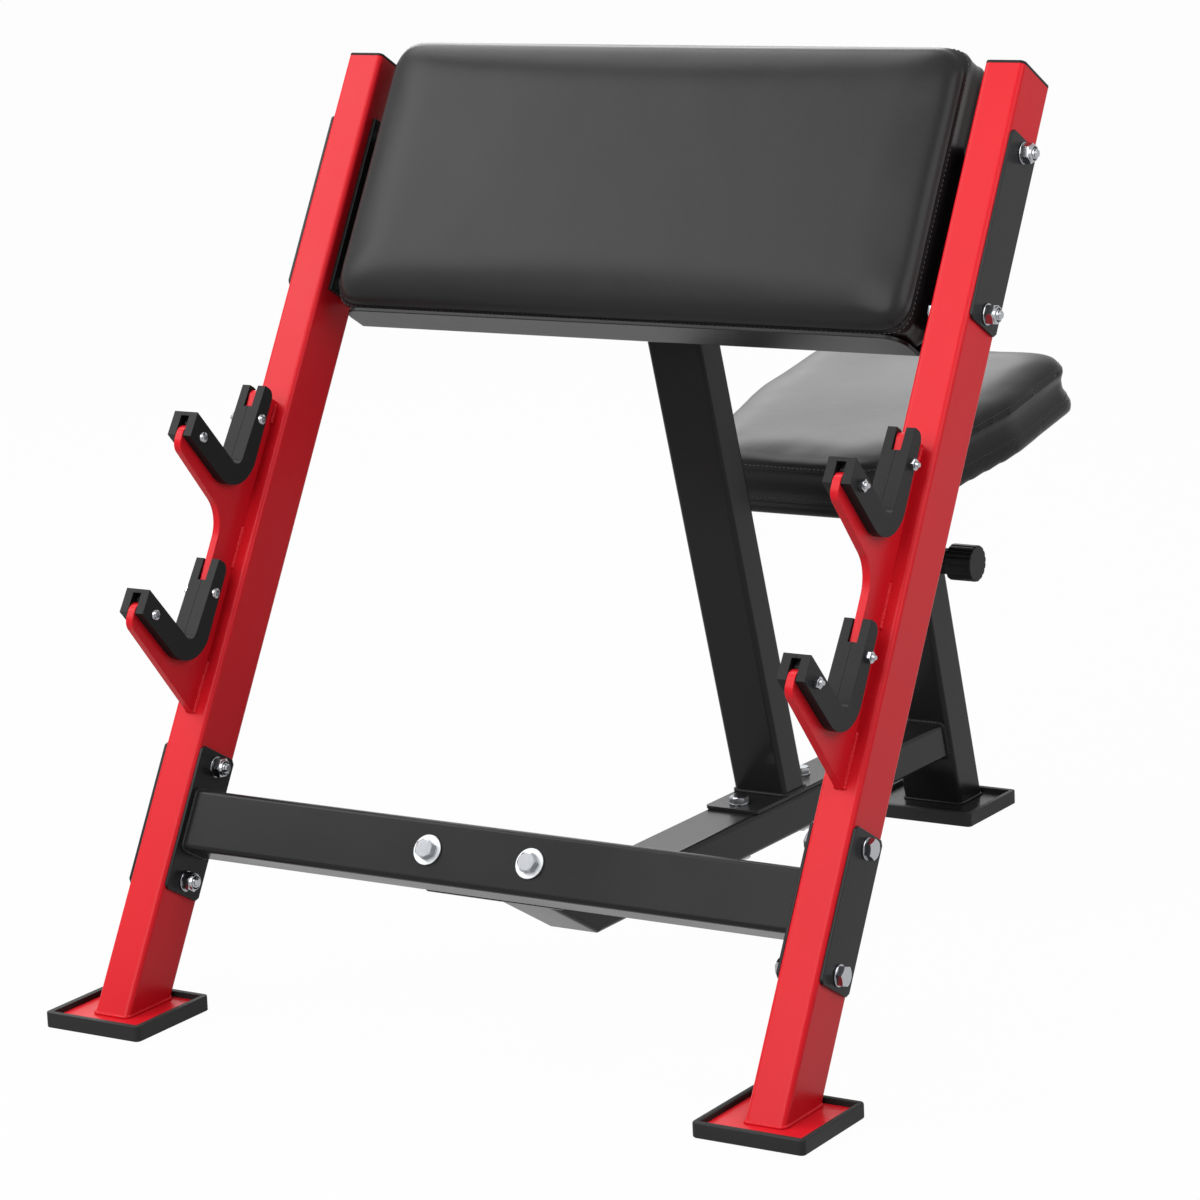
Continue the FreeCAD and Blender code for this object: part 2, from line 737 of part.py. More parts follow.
def make_liner_half(label, level, side, outward, plate):
    """One half of a liner, cut to fit over the rack plate and slotted at both arm ends."""
    body = doc.addObject("PartDesign::Body", "liner_blank")
    points = liner_outline(level)
    left = outward < 0
    solid = pad(body, polygon(body, points), size.liner_half, symmetric=False, backwards=left)
    middle = outward * size.liner_half.number / 2
    solid = round_off(body, solid, corners_of([points[2]], middle), size.liner_heel)
    solid = round_off(body, solid, corners_of([points[5]], middle), size.notch_radius)
    round_off(body, solid, corners_of([points[3]], middle), size.liner_round)
    tip, tip_end, rear = points[0][0], points[1][0], points[2][0]
    top = points[3][1]
    slot_top = level + bearing_height(size.front_arm_reach - size.front_slot) - size.front_web
    front_slot = rectangle(body, tip_end, tip + size.front_slot, points[1][1], slot_top)
    pocket(body, front_slot, size.slot_half, symmetric=False, backwards=not left)
    back_slot = rectangle(body, points[5][0], rear, top - size.back_slot, top)
    pocket(body, back_slot, size.slot_half, symmetric=False, backwards=not left)
    pocket(body, holes(body, screw_spots(level), size.screw_diameter + size.thread_fit * 2))
    place_leaning(body, upright_x * side)
    half = doc.addObject("Part::Cut", label)
    half.Base = body
    half.Tool = plate
    return keep(half, label)


def make_racks():
    levels = (("lower", size.notch_low), ("upper", size.notch_low + size.notch_pitch))
    for name, side in SIDES:
        plate = make_rack_plate(name, side)
        for height, level in levels:
            for face, outward in (("inner", -side), ("outer", side)):
                make_liner_half(f"liner_{height}_{name}_{face}", level, side, outward, plate)
        make_liner_screws(name, side, [level for _, level in levels])


def make_liner_screws(name, side, levels):
    """Screws with their heads on the inner faces and nuts on the outer faces."""
    reach = size.liner_half * 2 + size.screw_nut_height + size.screw_end
    screws, nuts = [], []
    for back, up in [spot for level in levels for spot in screw_spots(level)]:
        screw = round_screw(size.screw_head, size.screw_head_height, size.screw_diameter, reach)
        inner = (upright_x - size.liner_half) * side
        screws.append(along_x(screw, inner, back, up, side))
        nut = hexagon(size.screw_nut_flats, size.screw_nut_height)
        nut = bored(nut, size.screw_diameter + size.thread_fit * 2, size.screw_nut_height)
        outer = (upright_x + size.liner_half) * side
        nuts.append(along_x(nut, outer, back, up, side))
    place_leaning(group(f"liner_screws_{name}", screws))
    place_leaning(group(f"liner_nuts_{name}", nuts))


# Front cross tube with end plates, and backing plates outside the uprights
def make_cross_tube():
    body = new_body("cross_tube")
    half = size.tube_wide / 2
    front, rear = size.cross_setback, size.cross_setback + size.tube_narrow
    low, high = size.cross_height - half, size.cross_height + half
    length = (inner_x - size.joint_plate) * 2
    points = ((front, low), (rear, low), (rear, high), (front, high))
    solid = pad(body, polygon(body, points), length)
    round_off(body, solid, corners_of(points), size.tube_corner)
    wall = size.tube_wall
    pocket(body, rectangle(body, front + wall, rear - wall, low + wall, high - wall))
    pocket(body, holes(body, mount_spots(), size.bolt_hole, "XZ_Plane"))
    place_leaning(body)


def make_joint_plates():
    front = size.plate_middle - size.plate_width / 2
    rear = size.plate_middle + size.plate_width / 2
    half = size.joint_plate / 2
    lower = (size.cross_height, size.lower_plate_length, size.lower_bolt_spacing)
    upper = (size.upper_height, size.upper_plate_length, size.upper_bolt_spacing)
    rows = (
        ("cross_end_plate", inner_x - half, lower),
        ("cross_backing", outer_x + half, lower),
        ("cradle_backing", outer_x + half, upper),
    )
    for stem, across, (middle, length, spacing) in rows:
        low, high = middle - length / 2, middle + length / 2
        spots = [(size.plate_middle, level) for level in bolt_levels(middle, spacing)]
        for name, side in SIDES:
            plate = flat_plate(f"{stem}_{name}", front, rear, low, high, size.joint_plate, spots)
            place_leaning(plate, across * side)


# Frame bolts with their washers and lock nuts
def stack_through(across_head, across_nut, back, up, direction):
    """Bolt, two washers and a lock nut along X between two faces."""
    thick = size.washer_thickness
    span = (across_nut - across_head) * direction
    length = span + thick * 2 + size.nut_height + size.nut_collar + size.bolt_end
    head_seat = across_head - thick * direction
    nut_seat = across_nut + thick * direction
    bolts = [along_x(bolt(length), head_seat, back, up, direction)]
    washers = [
        along_x(washer(size.washer_diameter), across_head, back, up, -direction),
        along_x(washer(size.washer_diameter), across_nut, back, up, direction),
    ]
    nuts = [along_x(lock_nut(), nut_seat, back, up, direction)]
    return bolts, washers, nuts


def make_side_fasteners(stem, middle, spacing, inner_face, outer_face, heads_outside):
    """Four stacks through the uprights; gives their washers and nuts back."""
    bolts, washers, nuts = [], [], []
    for _, side in SIDES:
        for level in bolt_levels(middle, spacing):
            ends = [inner_face * side, outer_face * side]
            direction = side
            if heads_outside:
                ends.reverse()
                direction = -side
            found = stack_through(ends[0], ends[1], size.plate_middle, level, direction)
            bolts += found[0]
            washers += found[1]
            nuts += found[2]
    place_leaning(group(f"{stem}_bolts", bolts))
    return washers, nuts


def make_leaning_fasteners():
    """All bolts that stand square to the uprights' faces."""
    cross_washers, cross_nuts = make_side_fasteners(
        "cross",
        size.cross_height,
        size.lower_bolt_spacing,
        inner_x - size.joint_plate,
        outer_x + size.joint_plate,
        heads_outside=True,
    )
    cradle_washers, cradle_nuts = make_side_fasteners(
        "cradle",
        size.upper_height,
        size.upper_bolt_spacing,
        inner_x - size.cradle_sheet,
        outer_x + size.joint_plate,
        heads_outside=False,
    )
    mount_washers, mount_nuts = make_mount_fasteners()
    place_leaning(group("frame_washers", cross_washers + cradle_washers + mount_washers))
    place_leaning(group("frame_nuts", cross_nuts + cradle_nuts + mount_nuts))


# Main beam: a stub square to the cross tube, mitred into a level tube
def beam_mitre(along, level):
    """Where the stub's edge at along meets the beam's edge at level: behind the upright, and back."""
    behind = (foot_top + along * lean_cosine - level) / lean_sine
    back = along * lean_sine + behind * lean_cosine
    return behind, back


def make_beam():
    half = size.tube_narrow / 2
    low, high = size.cross_height - half, size.cross_height + half
    low_end, low_back = beam_mitre(low, size.beam_clearance)
    high_end, high_back = beam_mitre(high, beam_top)
    start = size.cross_setback + size.tube_narrow + size.plate_thickness
    stub = lying_tube("beam_stub", low, high, (start, start), (low_end, high_end), size.tube_wide)
    place_leaning(stub)
    slope = tangent(size.rear_post_lean)
    far = [size.rear_post_back - (level - foot_top) * slope for level in (size.beam_clearance, beam_top)]
    beam = lying_tube("main_beam", size.beam_clearance, beam_top, (low_back, high_back), far, size.tube_wide)
    spots = [(ZERO, back) for back in base_bolt_spots()]
    pocket(beam, holes(beam, spots, size.bolt_hole, "XY_Plane"))
    place(beam, ZERO, ZERO, ZERO, ZERO)


def mount_spots():
    return [(size.mount_bolt_spacing / 2 * side, size.cross_height) for _, side in SIDES]


def make_beam_mount():
    """Plate between the cross tube and the stub."""
    front = size.cross_setback + size.tube_narrow
    half = size.tube_wide / 2
    plate = new_body("beam_mount_plate")
    reach = size.mount_length / 2
    outline = rectangle(
        plate, -reach, reach, size.cross_height - half, size.cross_height + half, "XZ_Plane", -front
    )
    solid = pad(plate, outline, size.plate_thickness, symmetric=False, backwards=True)
    middle = (front + size.plate_thickness / 2).number
    levels = [(size.cross_height + half * sign).number for sign in (-1, 1)]
    middles = [(x, middle, z) for x in (-reach.number, reach.number) for z in levels]
    cut_off(plate, solid, middles, size.plate_corner)
    pocket(plate, holes(plate, mount_spots(), size.bolt_hole, "XZ_Plane"))
    place_leaning(plate)


def make_mount_fasteners():
    """Two bolts through the cross tube and its mounting plate."""
    thick = size.washer_thickness
    rear = size.cross_setback + size.tube_narrow + size.plate_thickness
    length = size.tube_narrow + size.plate_thickness + thick * 2 + size.nut_height
    length = length + size.nut_collar + size.bolt_end
    head_seat = size.cross_setback - thick
    bolts = [backwards(bolt(length), x, head_seat, up) for x, up in mount_spots()]
    wide = [backwards(washer(size.wide_washer), x, head_seat, up) for x, up in mount_spots()]
    washers = [backwards(washer(size.washer_diameter), x, rear, up) for x, up in mount_spots()]
    nuts = [backwards(lock_nut(), x, rear + thick, up) for x, up in mount_spots()]
    place_leaning(group("beam_mount_bolts", bolts))
    place_leaning(group("wide_washers", wide))
    return washers, nuts


# Mid post on its base plate
def base_middle():
    return size.mid_post_back + size.tube_narrow / cosine(size.mid_post_lean) / 2


def base_bolt_spots():
    half = size.base_bolt_spacing / 2
    return [base_middle() - half, base_middle() + half]


def make_mid_post():
    lean = size.mid_post_lean
    total = size.upright_lean + lean
    reach = size.mid_post_back * lean_cosine - (base_top - foot_top) * lean_sine - size.cradle_back
    head_front = reach / sine(total)
    head_rear = head_front + size.tube_narrow / tangent(total)
    foot = (ZERO, -size.tube_narrow * tangent(lean))
    post = standing_tube("mid_post", ZERO, size.tube_narrow, foot, (head_front, head_rear), size.tube_wide)
    place_mid_post(post)
    plate = new_body("mid_post_base")
    half, reach = size.tube_wide / 2, size.base_length / 2
    ends = [base_middle() + reach * sign for sign in (-1, 1)]
    outline = rectangle(plate, -half, half, ends[0], ends[1], "XY_Plane", beam_top)
    solid = pad(plate, outline, size.plate_thickness, symmetric=False)
    level = (beam_top + size.plate_thickness / 2).number
    middles = [(x, end.number, level) for x in (-half.number, half.number) for end in ends]
    cut_off(plate, solid, middles, size.plate_corner)
    pocket(plate, holes(plate, [(ZERO, back) for back in base_bolt_spots()], size.bolt_hole, "XY_Plane"))
    place(plate, ZERO, ZERO, ZERO, ZERO)
    make_base_fasteners()


def make_base_fasteners():
    thick = size.washer_thickness
    length = size.plate_thickness + size.tube_narrow + thick * 2 + size.nut_height
    length = length + size.nut_collar + size.bolt_end
    bolts, washers, nuts = [], [], []
    for back in base_bolt_spots():
        bolts.append(downwards(bolt(length), ZERO, back, base_top + thick))
        washers.append(upwards(washer(size.washer_diameter), ZERO, back, base_top))
        washers.append(downwards(washer(size.washer_diameter), ZERO, back, size.beam_clearance))
        nuts.append(downwards(lock_nut(), ZERO, back, size.beam_clearance - thick))
    for kind, pieces in (("bolts", bolts), ("washers", washers), ("nuts", nuts)):
        place(group(f"base_{kind}", pieces), ZERO, ZERO, ZERO, ZERO)


# Pad cradle: one folded sheet with a lip under the pad and a flange at each upright
def make_cradle():
    body = new_body("pad_cradle")
    sheet_thick = size.cradle_sheet
    low, high = bolt_levels(size.upper_height, size.upper_plate_length)
    half, lip_half = inner_x, inner_x - size.lip_gap
    outline = polygon(
        body,
        (
            (-lip_half, lip_height),
            (lip_half, lip_height),
            (lip_half, low),
            (half, low),
            (half, high),
            (-half, high),
            (-half, low),
            (-lip_half, low),
        ),
        "XZ_Plane",
        -size.cradle_back,
    )
    pad(body, outline, sheet_thick, symmetric=False)
    tip = size.cradle_back - size.lip_reach
    lip = rectangle(body, -lip_half, lip_half, tip, size.cradle_back, "XY_Plane", lip_height)
    solid = pad(body, lip, sheet_thick, symmetric=False)
    level = (lip_height + sheet_thick / 2).number
    corners = [(lip_half.number * sign, tip.number, level) for sign in (-1, 1)]
    round_off(body, solid, corners, size.lip_corner)
    front = size.cradle_back - size.cradle_flange
    for _, side in SIDES:
        edges = sorted((half * side, (half - sheet_thick) * side), key=lambda edge: edge.number)
        flange = rectangle(body, edges[0], edges[1], front, size.cradle_back, "XY_Plane", low)
        solid = pad(body, flange, high - low, symmetric=False)
    back = size.cradle_back.number
    folds = [(half.number * sign, back, size.upper_height.number) for sign in (-1, 1)]
    folds.append((0.0, back, lip_height.number))
    round_off(body, solid, folds, size.fold_radius)
    spots = [(size.plate_middle, level) for level in bolt_levels(size.upper_height, size.upper_bolt_spacing)]
    pocket(body, holes(body, spots, size.bolt_hole))
    pocket(body, holes(body, pad_screw_spots(), size.pad_screw_diameter + size.thread_fit * 2, "XZ_Plane"))
    place_leaning(body)


def pad_screw_spots():
    across, along = size.pad_screw_across / 2, size.pad_screw_along / 2
    return [(across * x, size.upper_height + along * z) for x in (-1, 1) for z in (-1, 1)]


# Cushions: lofts through rounded outlines, drawn in at the waist and crowned
def rounded_wire(points, radii, height):
    """A closed wire of lines and arcs: corners of the outline rounded off at one height."""
    count = len(points)
    ends = []
    for index, point in enumerate(points):
        corner = FreeCAD.Vector(point[0], point[1], height)
        before = FreeCAD.Vector(*points[index - 1], height) - corner
        after = FreeCAD.Vector(*points[(index + 1) % count], height) - corner
        half_angle = before.getAngle(after) / 2
        run = radii[index] / math.tan(half_angle)
        start = corner + before.normalize() * run
        end = corner + after.normalize() * run
        inward = (before + after).normalize()
        middle = corner + inward * (radii[index] / math.sin(half_angle) - radii[index])
        ends.append((start, middle, end))
    edges = []
    for index, (start, middle, end) in enumerate(ends):
        edges.append(Part.Arc(start, middle, end).toShape())
        edges.append(Part.LineSegment(end, ends[(index + 1) % count][0]).toShape())
    return Part.Wire(edges)


def inset_outline(points, inset):
    """The same outline moved inwards by one distance all round, counter-clockwise points."""
    count = len(points)
    moved = []
    for index, point in enumerate(points):
        corner = FreeCAD.Vector(*point, 0)
        before = (corner - FreeCAD.Vector(*points[index - 1], 0)).normalize()
        after = (FreeCAD.Vector(*points[(index + 1) % count], 0) - corner).normalize()
        first = FreeCAD.Vector(-before.y, before.x, 0)
        second = FreeCAD.Vector(-after.y, after.x, 0)
        shift = (first + second) * (inset / (1 + first.dot(second)))
        moved.append((corner.x + shift.x, corner.y + shift.y))
    return moved


def cushion(points, radii, sections):
    """A solid through (height, inset) sections of one outline; corners tighten to a third at most."""
    wires = []
    for height, inset in sections:
        tight = [max(radius - inset, radius / 3) for radius in radii]
        wires.append(rounded_wire(inset_outline(points, inset), tight, height))
    solid, ruled = True, True
    return Part.makeLoft(wires, solid, ruled)


def crown_sections(base, rise, run, seam_inset=0.0):
    """Sections from the seam over a rounded shoulder to the flat middle of the crown."""
    sections = []
    for step in range(CROWN_STEPS + 1):
        angle = math.pi / 2 * step / CROWN_STEPS
        up = math.sin(angle) ** (2 / CROWN_POWER)
        inward = 1 - max(math.cos(angle), 0.0) ** (2 / CROWN_POWER)
        sections.append((base + rise * up, seam_inset + run * inward))
    return sections


def waist_sections(low, high, low_inset, high_inset, waist):
    """Sections of sides that draw in between two edges, without the edges themselves."""
    sections = []
    for step in range(1, WAIST_STEPS):
        share = step / WAIST_STEPS
        edge = low_inset + (high_inset - low_inset) * share
        drawn_in = (waist - (low_inset + high_inset) / 2) * math.sin(math.pi * share)
        sections.append((low + (high - low) * share, edge + drawn_in))
    return sections


def make_arm_pad():
    half, tall = (inner_x - size.arm_pad_gap).number, size.arm_pad_height.number
    side, crown = size.arm_pad_side.number, size.arm_pad_crown.number
    outline = [(-half, 0), (half, 0), (half, tall), (-half, tall)]
    radii = [size.arm_pad_corner.number] * len(outline)
    roll = size.arm_pad_roll.number
    sides = waist_sections(0.0, side, 0.0, 0.0, size.arm_pad_waist.number)
    shape = cushion(outline, radii, [(0.0, 0.0)] + sides + crown_sections(side, crown, roll))
    margin, thick = size.board_margin.number, size.board_thickness.number
    recess = Part.makeBox(2 * (half - margin), tall - 2 * margin, thick)
    recess.translate(FreeCAD.Vector(margin - half, margin, 0))
    soft = keep(doc.addObject("Part::Feature", "arm_pad"), "arm_pad")
    soft.Shape = shape.cut(recess)
    behind = size.cradle_back - size.cradle_sheet
    bottom = lip_height + size.cradle_sheet
    back = behind * lean_cosine + bottom * lean_sine
    up = foot_top + bottom * lean_cosine - behind * lean_sine
    place(soft, ZERO, back, up, dim(90) - size.upright_lean)
    make_pad_board(bottom)


def make_pad_board(bottom):
    board = new_body("arm_pad_board")
    reach = inner_x - size.arm_pad_gap - size.board_margin
    low = bottom + size.board_margin
    high = bottom + size.arm_pad_height - size.board_margin
    behind = size.cradle_back - size.cradle_sheet
    outline = rectangle(board, -reach, reach, low, high, "XZ_Plane", -behind)
    pad(board, outline, size.board_thickness, symmetric=False)
    bore = size.pad_screw_diameter + size.thread_fit * 2
    pocket(board, holes(board, pad_screw_spots(), bore, "XZ_Plane"))
    place_leaning(board)
    screws = []
    for across, up in pad_screw_spots():
        screw = pad_screw(size.cradle_sheet + size.board_thickness)
        screws.append(turned(screw, across, size.cradle_back, up, "1; 0; 0", 90))
    place_leaning(group("arm_pad_screws", screws))


# Rear post and its guide bush
def make_rear_post():
    deep = size.sleeve_deep
    foot = (ZERO, -deep * tangent(size.rear_post_lean))
    head = (size.sleeve_length, size.sleeve_length)
    post = standing_tube("rear_post", ZERO, deep, foot, head, size.sleeve_wide)
    pin_hole(post, size.pin_diameter + size.pin_fit * 2)
    place_rear_post(post)
    bush = new_body("seat_bush")
    wall = size.tube_wall
    half = size.sleeve_wide / 2
    foot_level = size.sleeve_length - size.bush_length
    plug = rectangle(bush, wall - half, half - wall, wall, deep - wall, "XY_Plane", foot_level)
    pad(bush, plug, size.bush_length, symmetric=False)
    flange = rectangle(bush, -half, half, ZERO, deep, "XY_Plane", size.sleeve_length)
    solid = pad(bush, flange, size.bush_flange, symmetric=False)
    level = (size.sleeve_length + size.bush_flange / 2).number
    middles = [(half.number * sign, back, level) for sign in (-1, 1) for back in (0.0, deep.number)]
    round_off(bush, solid, middles, size.tube_corner)
    gap = size.slide_fit
    reach = size.tube_wide / 2 + gap
    front = (deep - size.tube_narrow) / 2 - gap
    pocket(bush, rectangle(bush, -reach, reach, front, deep - front, "XY_Plane"))
    pin_hole(bush, size.pin_diameter + size.pin_fit * 2)
    place_rear_post(bush)


def pin_hole(body, diameter):
    """A hole through the +X wall for the pull pin."""
    spot = [(size.sleeve_deep / 2, size.pin_set)]
    outline = holes(body, spot, diameter, sides=PIN_HOLE_SIDES)
    pocket(body, outline, size.sleeve_wide, symmetric=False, backwards=True)


# Seat: inner post, plate, board and cushion
def make_seat_post():
    front = (size.sleeve_deep - size.tube_narrow) / 2
    rear = front + size.tube_narrow
    swing = size.rear_post_lean - size.seat_tilt
    under = size.seat_set - size.seat_plate_thickness / cosine(swing)
    head = [under - (back - size.sleeve_deep / 2) * tangent(swing) for back in (front, rear)]
    foot = (size.seat_post_foot, size.seat_post_foot)
    post = standing_tube("seat_post", front, rear, foot, head, size.tube_wide)
    steps = range(-int(size.holes_below.number), int(size.holes_above.number) + 1)
    spots = [(size.sleeve_deep / 2, size.pin_set + size.hole_pitch * step) for step in steps]
    bore = size.pin_diameter + size.post_hole_fit * 2
    outline = holes(post, spots, bore, sides=PIN_HOLE_SIDES)
    pocket(post, outline, size.tube_wide, symmetric=False, backwards=True)
    place_rear_post(post)


def seat_screw_spots():
    across, along = size.seat_screw_across / 2, size.seat_screw_along / 2
    return [(across * x, along * y) for x in (-1, 1) for y in (-1, 1)]


def make_seat_plate():
    plate = new_body("seat_plate")
    half, reach = size.seat_plate_width / 2, size.seat_plate_length / 2
    thick = size.seat_plate_thickness
    solid = pad(plate, rectangle(plate, -half, half, -reach, reach, "XY_Plane", -thick), thick, False)
    middles = [(half.number * x, reach.number * y, -thick.number / 2) for x in (-1, 1) for y in (-1, 1)]
    cut_off(plate, solid, middles, size.plate_corner)
    bore = size.pad_screw_diameter + size.thread_fit * 2
    pocket(plate, holes(plate, seat_screw_spots(), bore, "XY_Plane"))
    place_seat(plate)
    screws = []
    for across, along in seat_screw_spots():
        screw = pad_screw(thick + size.board_thickness)
        screws.append(upwards(screw, across, along, -thick))
    place_seat(group("seat_screws", screws))


def seat_plan(margin=ZERO):
    """Counter-clockwise plan from the front: front corners, shoulders, rear corners."""
    front, rear = margin - size.seat_front, size.seat_rear - margin
    nose = size.seat_front_width / 2 - margin
    shoulder = size.seat_width / 2 - margin
    tail = size.seat_rear_width / 2 - margin
    return [(-nose, front), (nose, front), (shoulder, ZERO), (tail, rear), (-tail, rear), (-shoulder, ZERO)]


def make_seat_pad():
    points = [(across.number, along.number) for across, along in seat_plan()]
    corner, bend = size.seat_front_corner.number, size.seat_shoulder.number
    end = size.seat_rear_corner.number
    radii = [corner, corner, bend, end, end, bend]
    base, side, seam = size.seat_base.number, size.seat_side.number, size.seat_seam_inset.number
    roll = size.seat_band_roll.number
    band = [(0.0, size.seat_foot_inset.number), (base - roll, 0.0), (base, roll / 2)]
    sides = waist_sections(base, side, roll / 2, seam, size.seat_waist.number)
    over_top = crown_sections(side, size.seat_crown.number, size.seat_roll.number, seam)
    shape = cushion(points, radii, band + sides + over_top)
    soft = keep(doc.addObject("Part::Feature", "seat_pad"), "seat_pad")
    soft.Shape = shape.cut(make_seat_board())
    place_seat(soft)


def make_seat_board():
    """Plywood board in the seat's underside; gives its shape without holes."""
    board = new_body("seat_board")
    points = seat_plan(size.board_margin)
    blank = pad(board, polygon(board, points, "XY_Plane"), size.board_thickness, symmetric=False)
    level = size.board_thickness.number / 2
    corners = [(points[index][0].number, points[index][1].number, level) for index in (0, 1, 3, 4)]
    blank = cut_off(board, blank, corners, size.board_corner)
    bore = size.pad_screw_diameter + size.thread_fit * 2
    pocket(board, holes(board, seat_screw_spots(), bore, "XY_Plane"))
    place_seat(board)
    return blank.Shape


# Pull pin with its ribbed housing and knob
def groove(centre, radius, turn):
    """A V groove into a round grip, drawn from its tip to as far outside as it is deep."""
    out = (cosine(turn), sine(turn))
    tip = around(centre, radius - size.rib_depth, turn)
    mouth = around(centre, radius + size.rib_depth, turn)
    aside = (-out[1] * size.rib_width, out[0] * size.rib_width)
    right = (mouth[0] - aside[0], mouth[1] - aside[1])
    left = (mouth[0] + aside[0], mouth[1] + aside[1])
    return [tip, right, left]


def ribbed(label, start, length, diameter, bore, bore_depth):
    """A round grip along X with grooves all round and a bore for the pin."""
    body = new_body(label)
    middle = (size.sleeve_deep / 2, size.pin_set)
    pad(body, circle(body, middle, diameter, "YZ_Plane", start), length, symmetric=False)
    grooves = new_sketch(body, "YZ_Plane", start)
    turns = [dim(FULL_TURN) / size.rib_count * step for step in range(int(size.rib_count.number))]
    add_loops(grooves, [groove(middle, diameter / 2, turn) for turn in turns])
    pocket(body, grooves, length, symmetric=False, backwards=True)
    bores = holes(body, [middle], bore, "YZ_Plane", start, PIN_HOLE_SIDES)
    pocket(body, bores, bore_depth, symmetric=False, backwards=True)
    place_rear_post(body)
    return body


def make_pull_pin():
    face = size.sleeve_wide / 2
    loose = size.pin_diameter + size.pin_fit * 2
    ribbed("pin_housing", face, size.housing_length, size.housing_diameter, loose, size.housing_length)
    knob = face + size.housing_length + size.knob_gap
    ribbed("pull_knob", knob, size.knob_length, size.knob_diameter, size.pin_diameter, size.knob_socket)
    pin = new_body("pull_pin")
    tip = size.tube_wide / 2 - size.pin_depth
    middle = (size.sleeve_deep / 2, size.pin_set)
    outline = circle(pin, middle, size.pin_diameter, "YZ_Plane", tip)
    pad(pin, outline, knob + size.knob_socket - tip, symmetric=False)
    place_rear_post(pin)


make_uprights()
make_feet()
make_racks()
make_cross_tube()
make_joint_plates()
make_leaning_fasteners()
make_beam()
make_beam_mount()
make_mid_post()
make_cradle()
make_arm_pad()
make_rear_post()
make_seat_post()
make_seat_plate()
make_seat_pad()
make_pull_pin()
doc.recompute()

# Every object is sound before anything is written
for obj in doc.Objects:
    if "Invalid" in obj.State or "Error" in obj.State:
        raise RuntimeError(f"{obj.Label} failed: {obj.State}")
for node in nodes:
    if node.Shape.isNull() or not node.Shape.isValid():
        raise RuntimeError(f"{node.Label} has no valid shape")
os.makedirs("parts", exist_ok=True)
for node in nodes:
    node.Shape.exportStep(f"parts/{node.Label}.step")
print(f"{len(nodes)} sub-parts written")
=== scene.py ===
# %% [markdown]
# # A preacher curl bench, dressed
#
# The bench is a welded and bolted frame of painted steel tube. Two leaning red uprights carry bar racks with
# plastic liners, a black frame carries an arm pad and a sliding seat, and rubber trays stand under the feet.
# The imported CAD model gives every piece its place, so this lesson only adds what the solids leave out: soft
# edges, real fasteners, weld beads, padded vinyl with its seams, and a finish for every surface.

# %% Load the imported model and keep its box
import json
import math
from collections import namedtuple

import bmesh
import bpy
from mathutils import Matrix, Vector, noise
from mathutils.bvhtree import BVHTree

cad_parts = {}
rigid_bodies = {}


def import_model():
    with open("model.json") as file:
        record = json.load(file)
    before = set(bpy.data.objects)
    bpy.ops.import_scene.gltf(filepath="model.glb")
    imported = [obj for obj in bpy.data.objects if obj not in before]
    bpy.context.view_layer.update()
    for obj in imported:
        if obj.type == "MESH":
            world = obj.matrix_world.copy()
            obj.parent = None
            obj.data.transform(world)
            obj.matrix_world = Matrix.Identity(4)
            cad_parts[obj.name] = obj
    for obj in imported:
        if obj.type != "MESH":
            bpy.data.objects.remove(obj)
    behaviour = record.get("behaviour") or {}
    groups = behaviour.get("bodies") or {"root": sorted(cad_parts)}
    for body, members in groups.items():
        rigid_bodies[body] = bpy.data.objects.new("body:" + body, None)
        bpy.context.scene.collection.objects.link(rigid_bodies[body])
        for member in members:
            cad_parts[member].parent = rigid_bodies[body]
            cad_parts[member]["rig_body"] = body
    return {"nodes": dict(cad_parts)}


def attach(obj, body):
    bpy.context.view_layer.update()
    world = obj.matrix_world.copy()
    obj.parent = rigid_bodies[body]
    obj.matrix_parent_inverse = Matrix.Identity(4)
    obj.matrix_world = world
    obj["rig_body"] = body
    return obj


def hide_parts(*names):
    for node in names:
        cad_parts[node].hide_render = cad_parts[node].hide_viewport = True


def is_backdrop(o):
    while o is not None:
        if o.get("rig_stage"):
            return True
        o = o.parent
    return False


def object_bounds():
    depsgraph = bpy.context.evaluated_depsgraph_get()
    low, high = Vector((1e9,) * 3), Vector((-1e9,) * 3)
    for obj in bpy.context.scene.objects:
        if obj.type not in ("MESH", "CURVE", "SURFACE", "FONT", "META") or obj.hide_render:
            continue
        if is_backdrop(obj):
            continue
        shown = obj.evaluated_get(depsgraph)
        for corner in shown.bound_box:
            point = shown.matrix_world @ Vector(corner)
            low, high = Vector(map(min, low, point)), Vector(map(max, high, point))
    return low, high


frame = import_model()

cad_low, cad_high = (corner.copy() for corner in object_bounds())
scene = bpy.context.scene
nodes = frame["nodes"]
SIDES = (("left", -1), ("right", 1))
MM = 0.001
print("CAD nodes:", len(nodes), "box in mm:", [round(v / MM) for v in cad_high - cad_low])

# %% [markdown]
# ## The frames that pieces are measured in
#
# The uprights lean back by 30 degrees, the seat slopes by 10 and its post leans by 15.5. A piece could be
# placed by world coordinates, but then each one needs its own trigonometry. A matrix for each leaning frame
# lets a weld, a seam or a stitch be placed by plain distances along and behind the tube that carries it.

# %% Leaning frames
FOOT_TOP = 9.5 * MM
FRONT_FOOT = -520.5 * MM
REAR_POST = FRONT_FOOT + 992 * MM
UPRIGHT_X = 355 * MM
UPRIGHT_LEAN, REAR_LEAN, PAD_SLOPE, SEAT_SLOPE = -30, 15.5, 60, 10
PAD_AT = (50, 725)  # mm behind and along the uprights
SEAT_AT = (25, 420.5)  # mm behind and along the rear post
AXIS_X = Vector((1, 0, 0))
AXIS_Y = Vector((0, 1, 0))
AXIS_Z = Vector((0, 0, 1))


